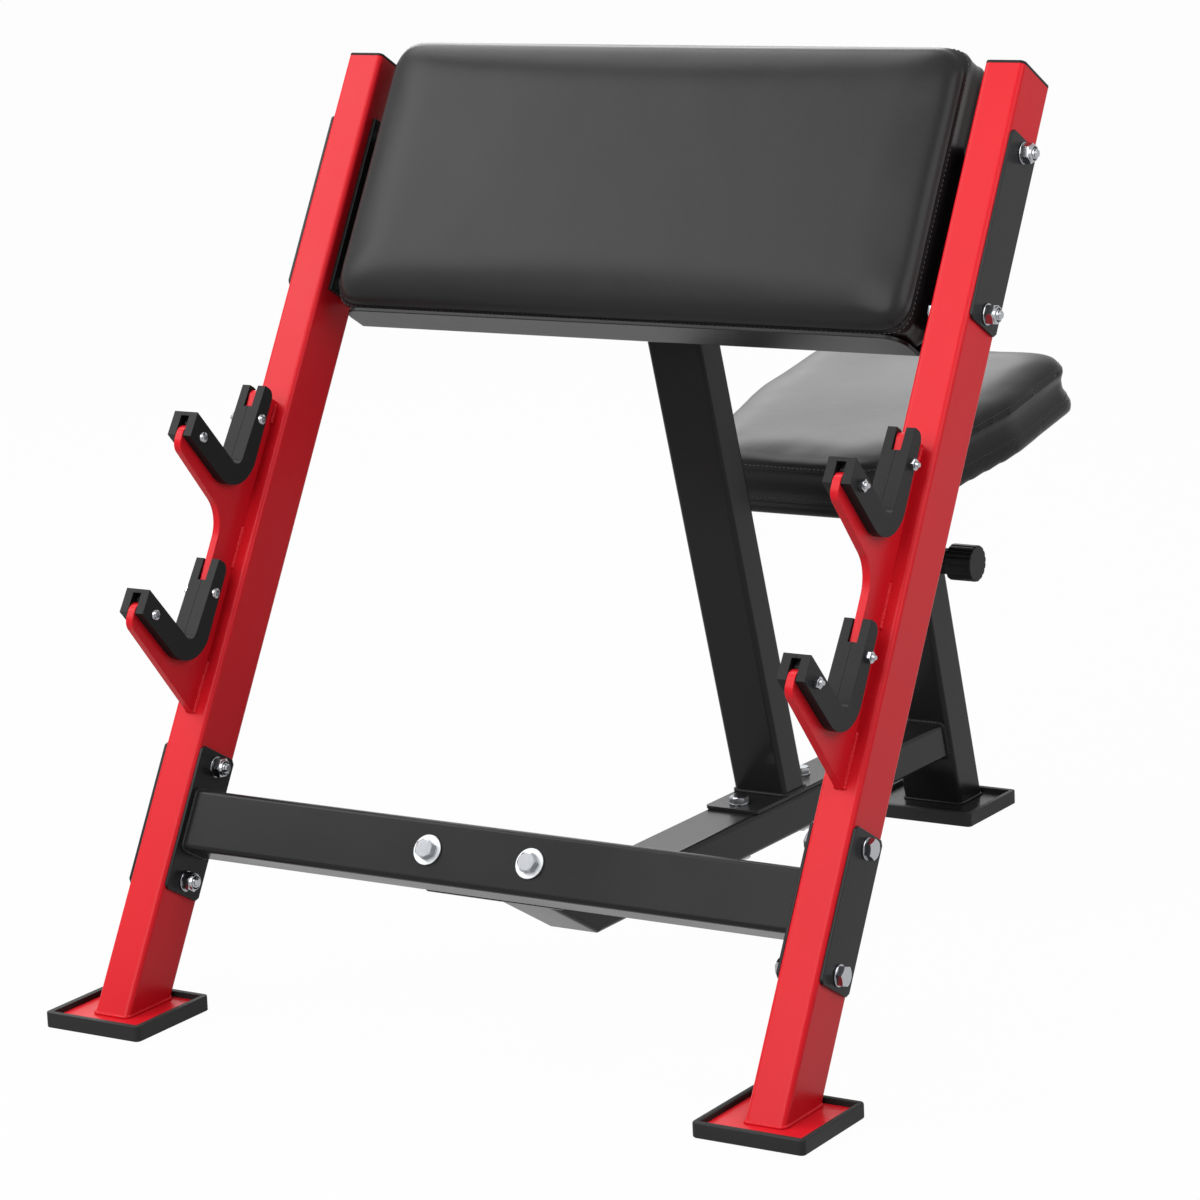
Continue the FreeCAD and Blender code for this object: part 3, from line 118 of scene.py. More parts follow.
def tilted(back, up, degrees):
    """A frame tilted about X: Y runs back, Z runs along the tube or out of the pad."""
    return Matrix.Translation((0, back, up)) @ Matrix.Rotation(math.radians(degrees), 4, "X")


def beside(frame_matrix, back, along):
    """A point on the middle of a leaning frame, by mm behind and along it."""
    return frame_matrix @ Vector((0, back * MM, along * MM))


def turned_axis(frame_matrix, axis):
    """The direction that an axis has in a leaning frame."""
    return (frame_matrix.to_3x3() @ axis).normalized()


upright_frame = tilted(FRONT_FOOT, FOOT_TOP, UPRIGHT_LEAN)
rear_frame = tilted(REAR_POST, FOOT_TOP, REAR_LEAN)
pad_back = beside(upright_frame, *PAD_AT)
pad_frame = tilted(pad_back.y, pad_back.z, PAD_SLOPE)
seat_middle = beside(rear_frame, *SEAT_AT)
seat_frame = tilted(seat_middle.y, seat_middle.z, SEAT_SLOPE)
BEHIND = turned_axis(upright_frame, AXIS_Y)
BEHIND_REAR_POST = turned_axis(rear_frame, AXIS_Y)
SEAT_UP = turned_axis(seat_frame, AXIS_Z)
print("seat underside at", [round(v, 4) for v in seat_middle])

# %% [markdown]
# ## Surface skins shared by several finishes
#
# Powder coat, moulded plastic, rubber and zinc all have a fine skin: a ripple of a millimetre or so that
# breaks up a reflection, and a slight cloudiness in the colour. An image could give this, but it would need
# unwrapping. A node group on Object coordinates gives it at true scale on any shape. The group puts out only
# a shade and a normal, and every material keeps its own shader.

# %% Node groups for skins
def link(tree, start, end):
    """Join an output socket to an input socket."""
    tree.links.new(start, end)


def new_group(name, inputs, outputs):
    """An empty shader group with number inputs, and its two end nodes."""
    tree = bpy.data.node_groups.new(name, "ShaderNodeTree")
    for label, start in inputs:
        socket = tree.interface.new_socket(name=label, in_out="INPUT", socket_type="NodeSocketFloat")
        socket.default_value = start
    for label, kind in outputs:
        tree.interface.new_socket(name=label, in_out="OUTPUT", socket_type=kind)
    return tree, tree.nodes.new("NodeGroupInput"), tree.nodes.new("NodeGroupOutput")


def add_noise(tree, place, scale, detail=2.0):
    """A noise texture whose scale is a number or a socket."""
    node = tree.nodes.new("ShaderNodeTexNoise")
    link(tree, place, node.inputs["Vector"])
    node.inputs["Detail"].default_value = detail
    if hasattr(scale, "is_output"):
        link(tree, scale, node.inputs["Scale"])
    else:
        node.inputs["Scale"].default_value = scale
    return node.outputs["Fac"]


def add_bump(tree, height, depth, under=None):
    """A bump whose depth, in metres, is a number or a socket."""
    node = tree.nodes.new("ShaderNodeBump")
    node.inputs["Strength"].default_value = 1.0
    link(tree, height, node.inputs["Height"])
    if hasattr(depth, "is_output"):
        link(tree, depth, node.inputs["Distance"])
    else:
        node.inputs["Distance"].default_value = depth
    if under is not None:
        link(tree, under, node.inputs["Normal"])
    return node.outputs["Normal"]


SHADE_AND_NORMAL = (("Shade", "NodeSocketFloat"), ("Normal", "NodeSocketVector"))
PAINT_CLOUDS, HIDE_CLOUDS, HIDE_SWELLS = 9.0, 6.0, 55.0
HIDE_SWELL_DEPTH = 0.00012


def make_fine_skin():
    """Ripple with a given number of waves per metre and depth, over a broad cloudiness."""
    tree, given, out = new_group("fine_skin", (("Waves", 700.0), ("Depth", 0.00002)), SHADE_AND_NORMAL)
    place = tree.nodes.new("ShaderNodeTexCoord").outputs["Object"]
    ripple = add_noise(tree, place, given.outputs["Waves"], detail=3.0)
    cloud = add_noise(tree, place, PAINT_CLOUDS, detail=4.0)
    link(tree, cloud, out.inputs["Shade"])
    link(tree, add_bump(tree, ripple, given.outputs["Depth"]), out.inputs["Normal"])
    return tree


def make_hide_grain():
    """Pebbled grain of vinyl: cells between fine creases, on softer swells."""
    tree, given, out = new_group("hide_grain", (("Cells", 620.0), ("Depth", 0.00008)), SHADE_AND_NORMAL)
    place = tree.nodes.new("ShaderNodeTexCoord").outputs["Object"]
    cells = tree.nodes.new("ShaderNodeTexVoronoi")
    cells.feature = "SMOOTH_F1"
    link(tree, place, cells.inputs["Vector"])
    link(tree, given.outputs["Cells"], cells.inputs["Scale"])
    swell = add_noise(tree, place, HIDE_SWELLS, detail=3.0)
    cloud = add_noise(tree, place, HIDE_CLOUDS, detail=3.0)
    soft = add_bump(tree, swell, HIDE_SWELL_DEPTH)
    grain = add_bump(tree, cells.outputs["Distance"], given.outputs["Depth"], under=soft)
    link(tree, cloud, out.inputs["Shade"])
    link(tree, grain, out.inputs["Normal"])
    return tree


fine_skin = make_fine_skin()
hide_grain = make_hide_grain()
print("node groups:", [group.name for group in bpy.data.node_groups])

# %% [markdown]
# ## Finishes
#
# Each finish is one Principled shader. What is the same all over, such as metalness or the strength of the
# shine, is set on the shader's own sockets. What changes over the surface, the colour's cloudiness, the
# roughness and the ripple, comes from a skin group. The steel wears red and black powder coat, the fasteners
# are zinc plated and the pads are black vinyl. Specular levels are low, because the studio is white all round
# and a strong shine would turn the black surfaces grey.

# %% Materials
COLOUR_A, COLOUR_B, COLOUR_RESULT = 6, 7, 2  # places of a Mix node's colour sockets
SHADE_LOW, SHADE_HIGH = 0.3, 0.7


def finish(name, dark, light, rough, skin, skin_values, **constants):
    """A material between two colours and two roughnesses, both driven by a skin's shade."""
    material = bpy.data.materials.new(name)
    material.use_nodes = True
    tree = material.node_tree
    shader = tree.nodes["Principled BSDF"]
    for label, value in constants.items():
        shader.inputs[label.replace("_", " ")].default_value = value
    group = tree.nodes.new("ShaderNodeGroup")
    group.node_tree = skin
    for label, value in skin_values.items():
        group.inputs[label].default_value = value
    blend = tree.nodes.new("ShaderNodeMix")
    blend.data_type = "RGBA"
    blend.inputs[COLOUR_A].default_value = (*dark, 1)
    blend.inputs[COLOUR_B].default_value = (*light, 1)
    link(tree, group.outputs["Shade"], blend.inputs[0])
    link(tree, blend.outputs[COLOUR_RESULT], shader.inputs["Base Color"])
    spread = tree.nodes.new("ShaderNodeMapRange")
    spread.inputs["From Min"].default_value = SHADE_LOW
    spread.inputs["From Max"].default_value = SHADE_HIGH
    spread.inputs["To Min"].default_value = rough[0]
    spread.inputs["To Max"].default_value = rough[1]
    link(tree, group.outputs["Shade"], spread.inputs["Value"])
    link(tree, spread.outputs["Result"], shader.inputs["Roughness"])
    link(tree, group.outputs["Normal"], shader.inputs["Normal"])
    return material


PAINT_RIPPLE = {"Waves": 420.0, "Depth": 0.00003}
SATIN_RIPPLE = {"Waves": 900.0, "Depth": 0.00003}
red_coat = finish(
    "red_coat", (0.50, 0.006, 0.013), (0.56, 0.010, 0.017), (0.32, 0.38), fine_skin, PAINT_RIPPLE,
    Specular_IOR_Level=0.13,
)
black_coat = finish(
    "black_coat", (0.011, 0.011, 0.0115), (0.015, 0.015, 0.0155), (0.22, 0.28), fine_skin, SATIN_RIPPLE,
    Specular_IOR_Level=0.1,
)
zinc = finish(
    "zinc_plate", (0.33, 0.34, 0.36), (0.42, 0.43, 0.45), (0.13, 0.22), fine_skin,
    {"Waves": 500.0, "Depth": 0.00002}, Metallic=1.0,
)
dull_zinc = finish(
    "dull_zinc", (0.30, 0.31, 0.32), (0.38, 0.39, 0.40), (0.40, 0.52), fine_skin,
    {"Waves": 700.0, "Depth": 0.00003}, Metallic=1.0,
)
vinyl = finish(
    "black_vinyl", (0.012, 0.012, 0.0125), (0.017, 0.017, 0.0175), (0.30, 0.36), hide_grain,
    {"Cells": 700.0, "Depth": 0.00005}, Specular_IOR_Level=0.12,
)
rubber = finish(
    "tray_rubber", (0.012, 0.012, 0.012), (0.018, 0.018, 0.018), (0.50, 0.62), fine_skin,
    {"Waves": 1100.0, "Depth": 0.00005}, Specular_IOR_Level=0.16,
)
black_plastic = finish(
    "liner_plastic", (0.006, 0.006, 0.0065), (0.009, 0.009, 0.0095), (0.34, 0.42), fine_skin,
    {"Waves": 1500.0, "Depth": 0.00005}, Specular_IOR_Level=0.1,
)
plywood = finish(
    "plywood", (0.30, 0.19, 0.10), (0.44, 0.30, 0.17), (0.55, 0.75), fine_skin,
    {"Waves": 60.0, "Depth": 0.0001},
)
thread = finish(
    "seam_thread", (0.012, 0.012, 0.013), (0.020, 0.020, 0.021), (0.5, 0.6), fine_skin,
    {"Waves": 2500.0, "Depth": 0.00004},
)
made = (red_coat, black_coat, zinc, dull_zinc, vinyl, rubber, black_plastic, plywood, thread)
print("finishes:", [material.name for material in made])

# %% [markdown]
# ## Which node wears which finish
#
# The CAD nodes whose shape is already right stay in the scene and only change their material. The racks, the
# uprights and their foot plates are red; the rest of the steel is black.

# %% Dress the CAD nodes
RED_NODES = [f"{stem}_{name}" for stem in ("upright", "rack_plate", "foot_plate") for name, _ in SIDES]
PLASTIC_STEMS = ("upright_cap", "liner_lower", "liner_upper", "seat_bush", "pin_housing", "pull_knob")
ZINC_STEMS = ("screws", "nuts", "bolts", "washers", "pull_pin")


def finish_for(name):
    """Material and slot name of a CAD node, from its name."""
    if name in RED_NODES:
        return red_coat, "red_paint"
    if any(word in name for word in ZINC_STEMS):
        return zinc, "zinc"
    if name.startswith("foot_tray"):
        return rubber, "rubber"
    if name.startswith(PLASTIC_STEMS):
        return black_plastic, "black_plastic"
    if name.endswith("board"):
        return plywood, "plywood"
    if name in ("arm_pad", "seat_pad"):
        return vinyl, "vinyl"
    return black_coat, "black_paint"


for name, node in nodes.items():
    node.data.materials.clear()
    node.data.materials.append(finish_for(name)[0])
print("dressed nodes:", len(nodes))

# %% [markdown]
# ## Edges that catch the light
#
# Cut steel, moulded plastic and rubber never have a perfectly sharp edge: the small round is what shows as a
# bright line. A Bevel modifier could add it, but a bmesh bevel on a merged copy lets the script choose only
# the outer edges by their angle. The copy then stands for the CAD node.

# %% Softened copies of plates, liners, trays and grips
JOIN_DISTANCE = 0.002 * MM
FLAT_ANGLE = math.radians(0.5)
SMALL_RIM = 45 * MM


def merged_copy(name, flatten=True):
    """A CAD node's triangles as one joined mesh, with flat areas made whole again."""
    bm = bmesh.new()
    bm.from_mesh(nodes[name].data)
    bmesh.ops.remove_doubles(bm, verts=bm.verts, dist=JOIN_DISTANCE)
    if flatten:
        bmesh.ops.dissolve_limit(bm, angle_limit=FLAT_ANGLE, verts=bm.verts, edges=bm.edges)
    return bm


def add_piece(name, bm, material, slot, body, sharp=35):
    """Turn a bmesh into a piece that rides on a body; edges that turn more than sharp degrees stay crisp."""
    mesh = bpy.data.meshes.new(name)
    bm.to_mesh(mesh)
    bm.free()
    mesh.shade_smooth()
    mesh.set_sharp_from_angle(angle=math.radians(sharp))
    mesh.materials.append(material)
    piece = bpy.data.objects.new(name, mesh)
    scene.collection.objects.link(piece)
    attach(piece, body)
    return piece


def evaluated_mesh(piece):
    """A piece's mesh with its modifiers applied."""
    graph = bpy.context.evaluated_depsgraph_get()
    return bpy.data.meshes.new_from_object(piece.evaluated_get(graph))


def flatten_shading(piece):
    """Let the large faces rule the shading, so that only the rounded edges turn the light."""
    even = piece.modifiers.new("even", "WEIGHTED_NORMAL")
    even.mode, even.weight, even.keep_sharp = "FACE_AREA", 100, True
    mesh = evaluated_mesh(piece)
    piece.modifiers.clear()
    piece.data = mesh


def body_of(name):
    """The moving body that a CAD node belongs to."""
    return nodes[name]["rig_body"]


def rims(edges):
    """Edges in groups that hang together."""
    waiting = set(edges)
    while waiting:
        group, front = [], [waiting.pop()]
        while front:
            edge = front.pop()
            group.append(edge)
            joining = {other for vert in edge.verts for other in vert.link_edges} & waiting
            waiting -= joining
            front += joining
        yield group


def soften(name, width, segments=2, least_turn=50):
    """A copy of a node whose outer edges are rounded by a width in mm; bolt holes stay as cut."""
    bm = merged_copy(name)
    bm.edges.index_update()
    sharp = [edge for edge in bm.edges if len(edge.link_faces) == 2 and edge.is_convex]
    sharp = [edge for edge in sharp if edge.calc_face_angle() > math.radians(least_turn)]
    edges = []
    for rim in rims(sharp):
        if sum(edge.calc_length() for edge in rim) > SMALL_RIM:
            edges += rim
    edges.sort(key=lambda edge: edge.index)
    bmesh.ops.bevel(
        bm, geom=edges, offset=width * MM, offset_type="OFFSET", segments=segments, profile=0.5,
        affect="EDGES", clamp_overlap=True, material=-1,
    )
    material, slot = finish_for(name)
    piece = add_piece(f"soft_{name}", bm, material, slot, body_of(name), sharp=50)
    flatten_shading(piece)
    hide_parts(name)
    return piece


# start of a node's name, width of the round in mm, segments
SOFT_EDGES = (
    ("rack_plate", 0.6, 2),
    ("liner", 1.6, 3),
    ("foot_tray", 2.2, 3),
    ("upright_cap", 0.8, 2),
    ("foot_plate", 0.7, 2),
    ("cross_end_plate", 0.5, 2),
    ("cross_backing", 0.5, 2),
    ("cradle_backing", 0.5, 2),
    ("beam_mount_plate", 0.6, 2),
    ("mid_post_base", 0.6, 2),
    ("pad_cradle", 0.7, 2),
    ("seat_plate", 0.6, 2),
    ("seat_bush", 0.8, 2),
    ("pin_housing", 0.6, 2),
    ("pull_knob", 1.2, 3),
)
softened = []
for stem, width, segments in SOFT_EDGES:
    for name in sorted(nodes):
        is_fastener = any(word in name for word in ZINC_STEMS)
        if name.startswith(stem) and not is_fastener:
            softened.append(soften(name, width, segments))
print("softened pieces:", len(softened), "faces:", sum(len(piece.data.polygons) for piece in softened))

# %% [markdown]
# ## Fasteners
#
# A real hexagon head is turned to a cone on top, which leaves a curved chamfer on every flat. Bevelling the
# six edges would give straight chamfers, so a hexagon prism is intersected with a spun cone instead. Washers
# and collars are spun from a small profile, and the bolt ends get a helical thread from a spin that climbs.
# Each fastener is made once and stamped wherever the CAD node has one of its solids.

# %% Turned and hexagonal forms
TOUCHING = 0.001 * MM
FACE_SHARE = 0.96  # of the width over flats that the turned end face takes
CONE = math.radians(30)


def spun(profile, steps=40, closed=False):
    """A solid of revolution about Z from (radius, height) points in mm."""
    bm = bmesh.new()
    verts = [bm.verts.new((radius * MM, 0, height * MM)) for radius, height in profile]
    edges = [bm.edges.new(pair) for pair in zip(verts, verts[1:])]
    if closed:
        edges.append(bm.edges.new((verts[-1], verts[0])))
    bmesh.ops.spin(
        bm, geom=verts + edges, axis=(0, 0, 1), cent=(0, 0, 0), angle=2 * math.pi, steps=steps,
        use_merge=True,
    )
    bmesh.ops.remove_doubles(bm, verts=bm.verts, dist=TOUCHING)
    bmesh.ops.recalc_face_normals(bm, faces=bm.faces)
    return bm


def hexagon(flats, height):
    """A hexagon prism that stands on height 0, in mm."""
    bm = bmesh.new()
    radius = flats / math.sqrt(3) * MM
    bmesh.ops.create_cone(
        bm, cap_ends=True, segments=6, radius1=radius, radius2=radius, depth=height * MM
    )
    bmesh.ops.translate(bm, verts=bm.verts, vec=(0, 0, height / 2 * MM))
    return bm


def combined(first, second, operation):
    """The Boolean of two bmeshes as a new bmesh."""
    objects = []
    for bm in (first, second):
        mesh = bpy.data.meshes.new("form")
        bm.to_mesh(mesh)
        bm.free()
        objects.append(bpy.data.objects.new("form", mesh))
        scene.collection.objects.link(objects[-1])
    modifier = objects[0].modifiers.new("cut", "BOOLEAN")
    modifier.operation, modifier.solver, modifier.object = operation, "EXACT", objects[1]
    graph = bpy.context.evaluated_depsgraph_get()
    result = bmesh.new()
    result.from_mesh(objects[0].evaluated_get(graph).to_mesh())
    for obj in objects:
        bpy.data.objects.remove(obj)
    return result


def joined(*parts):
    """Several bmeshes as one mesh for stamping."""
    mesh = bpy.data.meshes.new("template")
    whole = bmesh.new()
    for part in parts:
        part.to_mesh(mesh)
        part.free()
        whole.from_mesh(mesh)
    whole.to_mesh(mesh)
    whole.free()
    return mesh


def chamfered_hexagon(flats, height, both_ends=False):
    """A hexagon whose outer end, at height 0, is turned to a cone."""
    clear = flats / math.sqrt(3) + 1
    face = flats / 2 * FACE_SHARE
    drop = (clear - face) * math.tan(CONE)
    profile = [(0, 0), (face, 0), (clear, drop)]
    if both_ends:
        profile += [(clear, height - drop), (face, height), (0, height)]
    else:
        profile += [(clear, height), (0, height)]
    return combined(hexagon(flats, height), spun(profile, 48), "INTERSECT")


def drilled(form, diameter, height, steps):
    """A form with a round hole through its whole height, in mm."""
    radius = diameter / 2
    drill = spun([(0, -1), (radius, -1), (radius, height + 1), (0, height + 1)], steps)
    return combined(form, drill, "DIFFERENCE")


THREAD_STEPS = 20  # around one turn
THREADED_PITCHES = 12


def thread_ridge(diameter, pitch, start, end):
    """A helical ridge round a bolt between two heights."""
    bm = bmesh.new()
    root, crest = diameter / 2 - pitch * 0.55, diameter / 2
    points = ((root, start), (crest, start + pitch / 2), (root, start + pitch))
    verts = [bm.verts.new((radius * MM, 0, height * MM)) for radius, height in points]
    edges = [bm.edges.new(pair) for pair in zip(verts, verts[1:])]
    turns = max(1, int((end - start) / pitch) - 1)
    steps = THREAD_STEPS * turns
    climb = pitch * turns / steps * MM
    bmesh.ops.spin(
        bm, geom=verts + edges, axis=(0, 0, 1), cent=(0, 0, 0), dvec=(0, 0, climb),
        angle=2 * math.pi * turns, steps=steps,
    )
    bmesh.ops.recalc_face_normals(bm, faces=bm.faces)
    return bm


def shank(diameter, pitch, start, end):
    """A plain core with a chamfered end, and a thread on its last stretch."""
    core = diameter / 2 - pitch * 0.5
    tip = core - pitch * 0.6
    body = spun([(0, start), (core, start), (core, end - pitch), (tip, end), (0, end)], 24)
    threaded_from = max(start, end - pitch * THREADED_PITCHES)
    return body, thread_ridge(diameter, pitch, threaded_from, end - pitch * 0.4)


# %% Templates of each fastener, in mm from the outer face of the head
OVERLAP = 0.5
BOLT_SIZE, BOLT_PITCH, BOLT_FLATS, BOLT_HEAD = 10, 1.5, 17, 6.5
NUT_HEIGHT = 8
WASHER_BORE, WASHER_EDGE = 10.4, 0.35
PLAIN_WASHER, WIDE_WASHER = 20, 29
LINER_SCREW = {"head": 11, "height": 3, "diameter": 6}
BOARD_SCREW = {"head": 15, "height": 4, "diameter": 8}
LINER_NUT_FLATS, LINER_NUT_BORE = 10, 6.2


def bolt_template(length):
    head = chamfered_hexagon(BOLT_FLATS, BOLT_HEAD)
    return joined(head, *shank(BOLT_SIZE, BOLT_PITCH, BOLT_HEAD - OVERLAP, length))


def screw_template(length, head, height, diameter):
    """A button-headed screw with a hexagon socket."""
    radius = head / 2
    dome = [(0, 0), (radius * 0.55, 0), (radius * 0.86, height * 0.3)]
    dome += [(radius, height * 0.75), (radius, height), (0, height)]
    socket = hexagon(head * 0.5, height * 1.3)
    bmesh.ops.translate(socket, verts=socket.verts, vec=(0, 0, -height * 0.5 * MM))
    button = combined(spun(dome, 32), socket, "DIFFERENCE")
    return joined(button, *shank(diameter, diameter / 6, height - OVERLAP, length))


def washer_template(diameter, thickness):
    outer, inner = diameter / 2, WASHER_BORE / 2
    rounded = outer - WASHER_EDGE
    loop = [(inner, 0), (rounded, 0), (outer, WASHER_EDGE), (outer, thickness - WASHER_EDGE)]
    loop += [(rounded, thickness), (inner, thickness)]
    return joined(spun(loop, 48, closed=True))


def lock_nut_template():
    """Hexagon and rolled collar; the ring of nylon inside it is a piece of its own."""
    body = drilled(chamfered_hexagon(BOLT_FLATS, NUT_HEIGHT, both_ends=True), BOLT_SIZE, NUT_HEIGHT, 32)
    rolled = [(6.3, 7.6), (7.9, 7.6), (7.7, 9.6), (7.2, 10.4), (6.7, 10.4), (6.3, 9.9)]
    return joined(body, spun(rolled, 40, closed=True))


def nylon_ring_template():
    ring = [(4.6, 7.8), (6.3, 7.8), (6.3, 9.3), (5.9, 9.6), (4.6, 9.2)]
    return joined(spun(ring, 32, closed=True))


def liner_nut_template(height):
    blank = chamfered_hexagon(LINER_NUT_FLATS, height, both_ends=True)
    return joined(drilled(blank, LINER_NUT_BORE, height, 24))


# %% Find each fastener in its CAD node and stamp its template there
def islands(name):
    """Points of every separate solid in a node, in a steady order."""
    bm = merged_copy(name, flatten=False)
    bm.verts.index_update()
    seen = set()
    clouds = []
    for first in bm.verts:
        if first.index in seen:
            continue
        seen.add(first.index)
        front, cloud = [first], []
        while front:
            vert = front.pop()
            cloud.append(vert.co.copy())
            for edge in vert.link_edges:
                other = edge.other_vert(vert)
                if other.index not in seen:
                    seen.add(other.index)
                    front.append(other)
        clouds.append(cloud)
    bm.free()
    return clouds


def span(cloud, axis):
    """Least and greatest reach of some points along an axis."""
    reach = [point.dot(axis) for point in cloud]
    return min(reach), max(reach)


WIDER = 0.1 * MM


def seat_of(cloud, axes, longest):
    """Frame at the wide end of a solid, Z along its axis, with its length in mm."""
    lengths = [span(cloud, axis)[1] - span(cloud, axis)[0] for axis in axes]
    axis = axes[lengths.index(max(lengths) if longest else min(lengths))]
    aside = axis.orthogonal().normalized()
    low, high = span(cloud, axis)
    middle = Vector((0, 0, 0))
    for direction in (aside, axis.cross(aside)):
        middle += direction * (sum(span(cloud, direction)) / 2)
    quarter = (high - low) / 4
    low_end = [point for point in cloud if point.dot(axis) < low + quarter]
    high_end = [point for point in cloud if point.dot(axis) > high - quarter]
    widths = []
    for end in (low_end, high_end):
        widths.append(max((point - middle - axis * point.dot(axis)).length for point in end))
    start = low
    if widths[1] > widths[0] + WIDER:
        axis, start = -axis, -high
    turn = axis.to_track_quat("Z", "Y").to_matrix().to_4x4()
    return Matrix.Translation(middle + axis * start) @ turn, (high - low) / MM


BRIGHT_ZINC = (zinc, "zinc")
DULL_ZINC = (dull_zinc, "zinc")
NYLON = (black_plastic, "black_plastic")
FASTENER_AXES = (AXIS_X, BEHIND, AXIS_Z)
TURN_STEP = 0.41  # radians from one head to the next, so that no two stand alike


def stamp_all(name, template_for, longest=False, axes=FASTENER_AXES, look=BRIGHT_ZINC, prefix="turned"):
    """A piece with one stamped template for each solid of a node, along its longest or shortest axis."""
    bm = bmesh.new()
    clouds = islands(name)
    templates = {}
    for index, cloud in enumerate(clouds):
        seat, length = seat_of(cloud, axes, longest)
        key = round(length, 1)
        if key not in templates:
            templates[key] = template_for(key)
        first = len(bm.verts)
        bm.from_mesh(templates[key])
        bm.verts.ensure_lookup_table()
        turn = Matrix.Rotation(TURN_STEP * index, 4, "Z")
        bmesh.ops.transform(bm, matrix=seat @ turn, verts=bm.verts[first:])
    piece = add_piece(f"{prefix}_{name}", bm, *look, body_of(name), sharp=30)
    print(piece.name, "solids:", len(clouds), "faces:", len(piece.data.polygons))
    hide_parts(name)


for name in ("cross_bolts", "cradle_bolts", "beam_mount_bolts", "base_bolts"):
    stamp_all(name, bolt_template, longest=True)
for name in ("frame_nuts", "base_nuts"):
    stamp_all(name, lambda _: lock_nut_template())
    stamp_all(name, lambda _: nylon_ring_template(), look=NYLON, prefix="nylon")
for name in ("frame_washers", "base_washers"):
    stamp_all(name, lambda thickness: washer_template(PLAIN_WASHER, thickness))
stamp_all("wide_washers", lambda thickness: washer_template(WIDE_WASHER, thickness), look=DULL_ZINC)
for name, _ in SIDES:
    stamp_all(f"liner_screws_{name}", lambda length: screw_template(length, **LINER_SCREW), longest=True)
    stamp_all(f"liner_nuts_{name}", liner_nut_template)
stamp_all("arm_pad_screws", lambda length: screw_template(length, **BOARD_SCREW), longest=True)
stamp_all("seat_screws", lambda length: screw_template(length, **BOARD_SCREW), longest=True, axes=(SEAT_UP,))

# %% [markdown]
# ## Weld beads
#
# The tubes are welded to their plates, and the bead shows under the paint as a rippled fillet. A bead could
# be a texture, but it breaks the outline where two tubes meet, so it is real. The outline of a tube is read
# by cutting a copy of it with a plane. A curve along that outline, whose radius rises and falls with every
# drop of weld, gives the bead.

# %% Beads along cut outlines
def cut_plane(bm, point, normal):
    """Cut a bmesh along a plane and keep both halves; gives the new points and edges."""
    geometry = bm.verts[:] + bm.edges[:] + bm.faces[:]
    cut = bmesh.ops.bisect_plane(bm, geom=geometry, dist=TOUCHING, plane_co=point, plane_no=normal)
    return cut["geom_cut"]


def cut_loops(bm, point, normal):
    """Closed loops of points where a plane cuts a bmesh."""
    cut = cut_plane(bm, point, normal)
    edges = [item for item in cut if isinstance(item, bmesh.types.BMEdge)]
    links = {}
    for edge in edges:
        for vert in edge.verts:
            links.setdefault(vert, []).append(edge.other_vert(vert))
    loops, used = [], set()
    for start in links:
        if start in used:
            continue
        loop, vert = [], start
        while vert is not None:
            used.add(vert)
            loop.append(vert.co.copy())
            vert = next((other for other in links[vert] if other not in used), None)
        loops.append(loop)
    return loops


def loop_length(loop):
    """The way round a closed loop of points, in metres."""
    return sum((end - start).length for start, end in zip(loop, loop[1:] + loop[:1]))


def resampled(points, step, closed=True):
    """Points at an even step, in metres, along a line or loop."""
    line = points + points[:1] if closed else points
    total = sum((end - start).length for start, end in zip(line, line[1:]))
    count = max(2, round(total / step))
    even, walked, want = [], 0.0, 0.0
    for start, end in zip(line, line[1:]):
        length = (end - start).length
        while length > 0 and want <= walked + length and len(even) < count:
            even.append(start.lerp(end, (want - walked) / length))
            want += total / count
        walked += length
    return even


BEAD_STEP = 1.3 * MM
DROP_STEPS = 3.1  # bead steps from one drop of weld to the next
DROP_SHARE = 0.16  # of the radius
DROP_NOISE = 160


def bead_form(points, radius, closed=True):
    """A rippled bead along points, its radius in mm."""
    curve = bpy.data.curves.new("bead", "CURVE")
    curve.dimensions, curve.bevel_depth, curve.bevel_resolution = "3D", radius * MM, 2
    curve.use_fill_caps = not closed
    even = resampled(points, BEAD_STEP, closed)
    spline = curve.splines.new("POLY")
    spline.points.add(len(even) - 1)
    spline.use_cyclic_u = closed
    for index, (spot, point) in enumerate(zip(spline.points, even)):
        drop = math.sin(2 * math.pi * index / DROP_STEPS) + noise.noise(point * DROP_NOISE)
        spot.co = (*point, 1)
        spot.radius = 1 + DROP_SHARE * drop
    holder = bpy.data.objects.new("bead", curve)
    scene.collection.objects.link(holder)
    graph = bpy.context.evaluated_depsgraph_get()
    bm = bmesh.new()
    bm.from_mesh(holder.evaluated_get(graph).to_mesh())
    bpy.data.objects.remove(holder)
    bmesh.ops.remove_doubles(bm, verts=bm.verts, dist=TOUCHING)
    return bm


def bead_round(node, name, point, normal, radius):
    """A bead round the outside of a tube where a plane cuts it."""
    bm = merged_copy(node)
    loops = cut_loops(bm, point, normal)
    bm.free()
    outer = max(loops, key=loop_length)
    material, slot = finish_for(node)
    bead = add_piece(name, bead_form(outer, radius), material, slot, body_of(node), sharp=80)
    print(name, "loop in mm:", round(loop_length(outer) / MM), "faces:", len(bead.data.polygons))


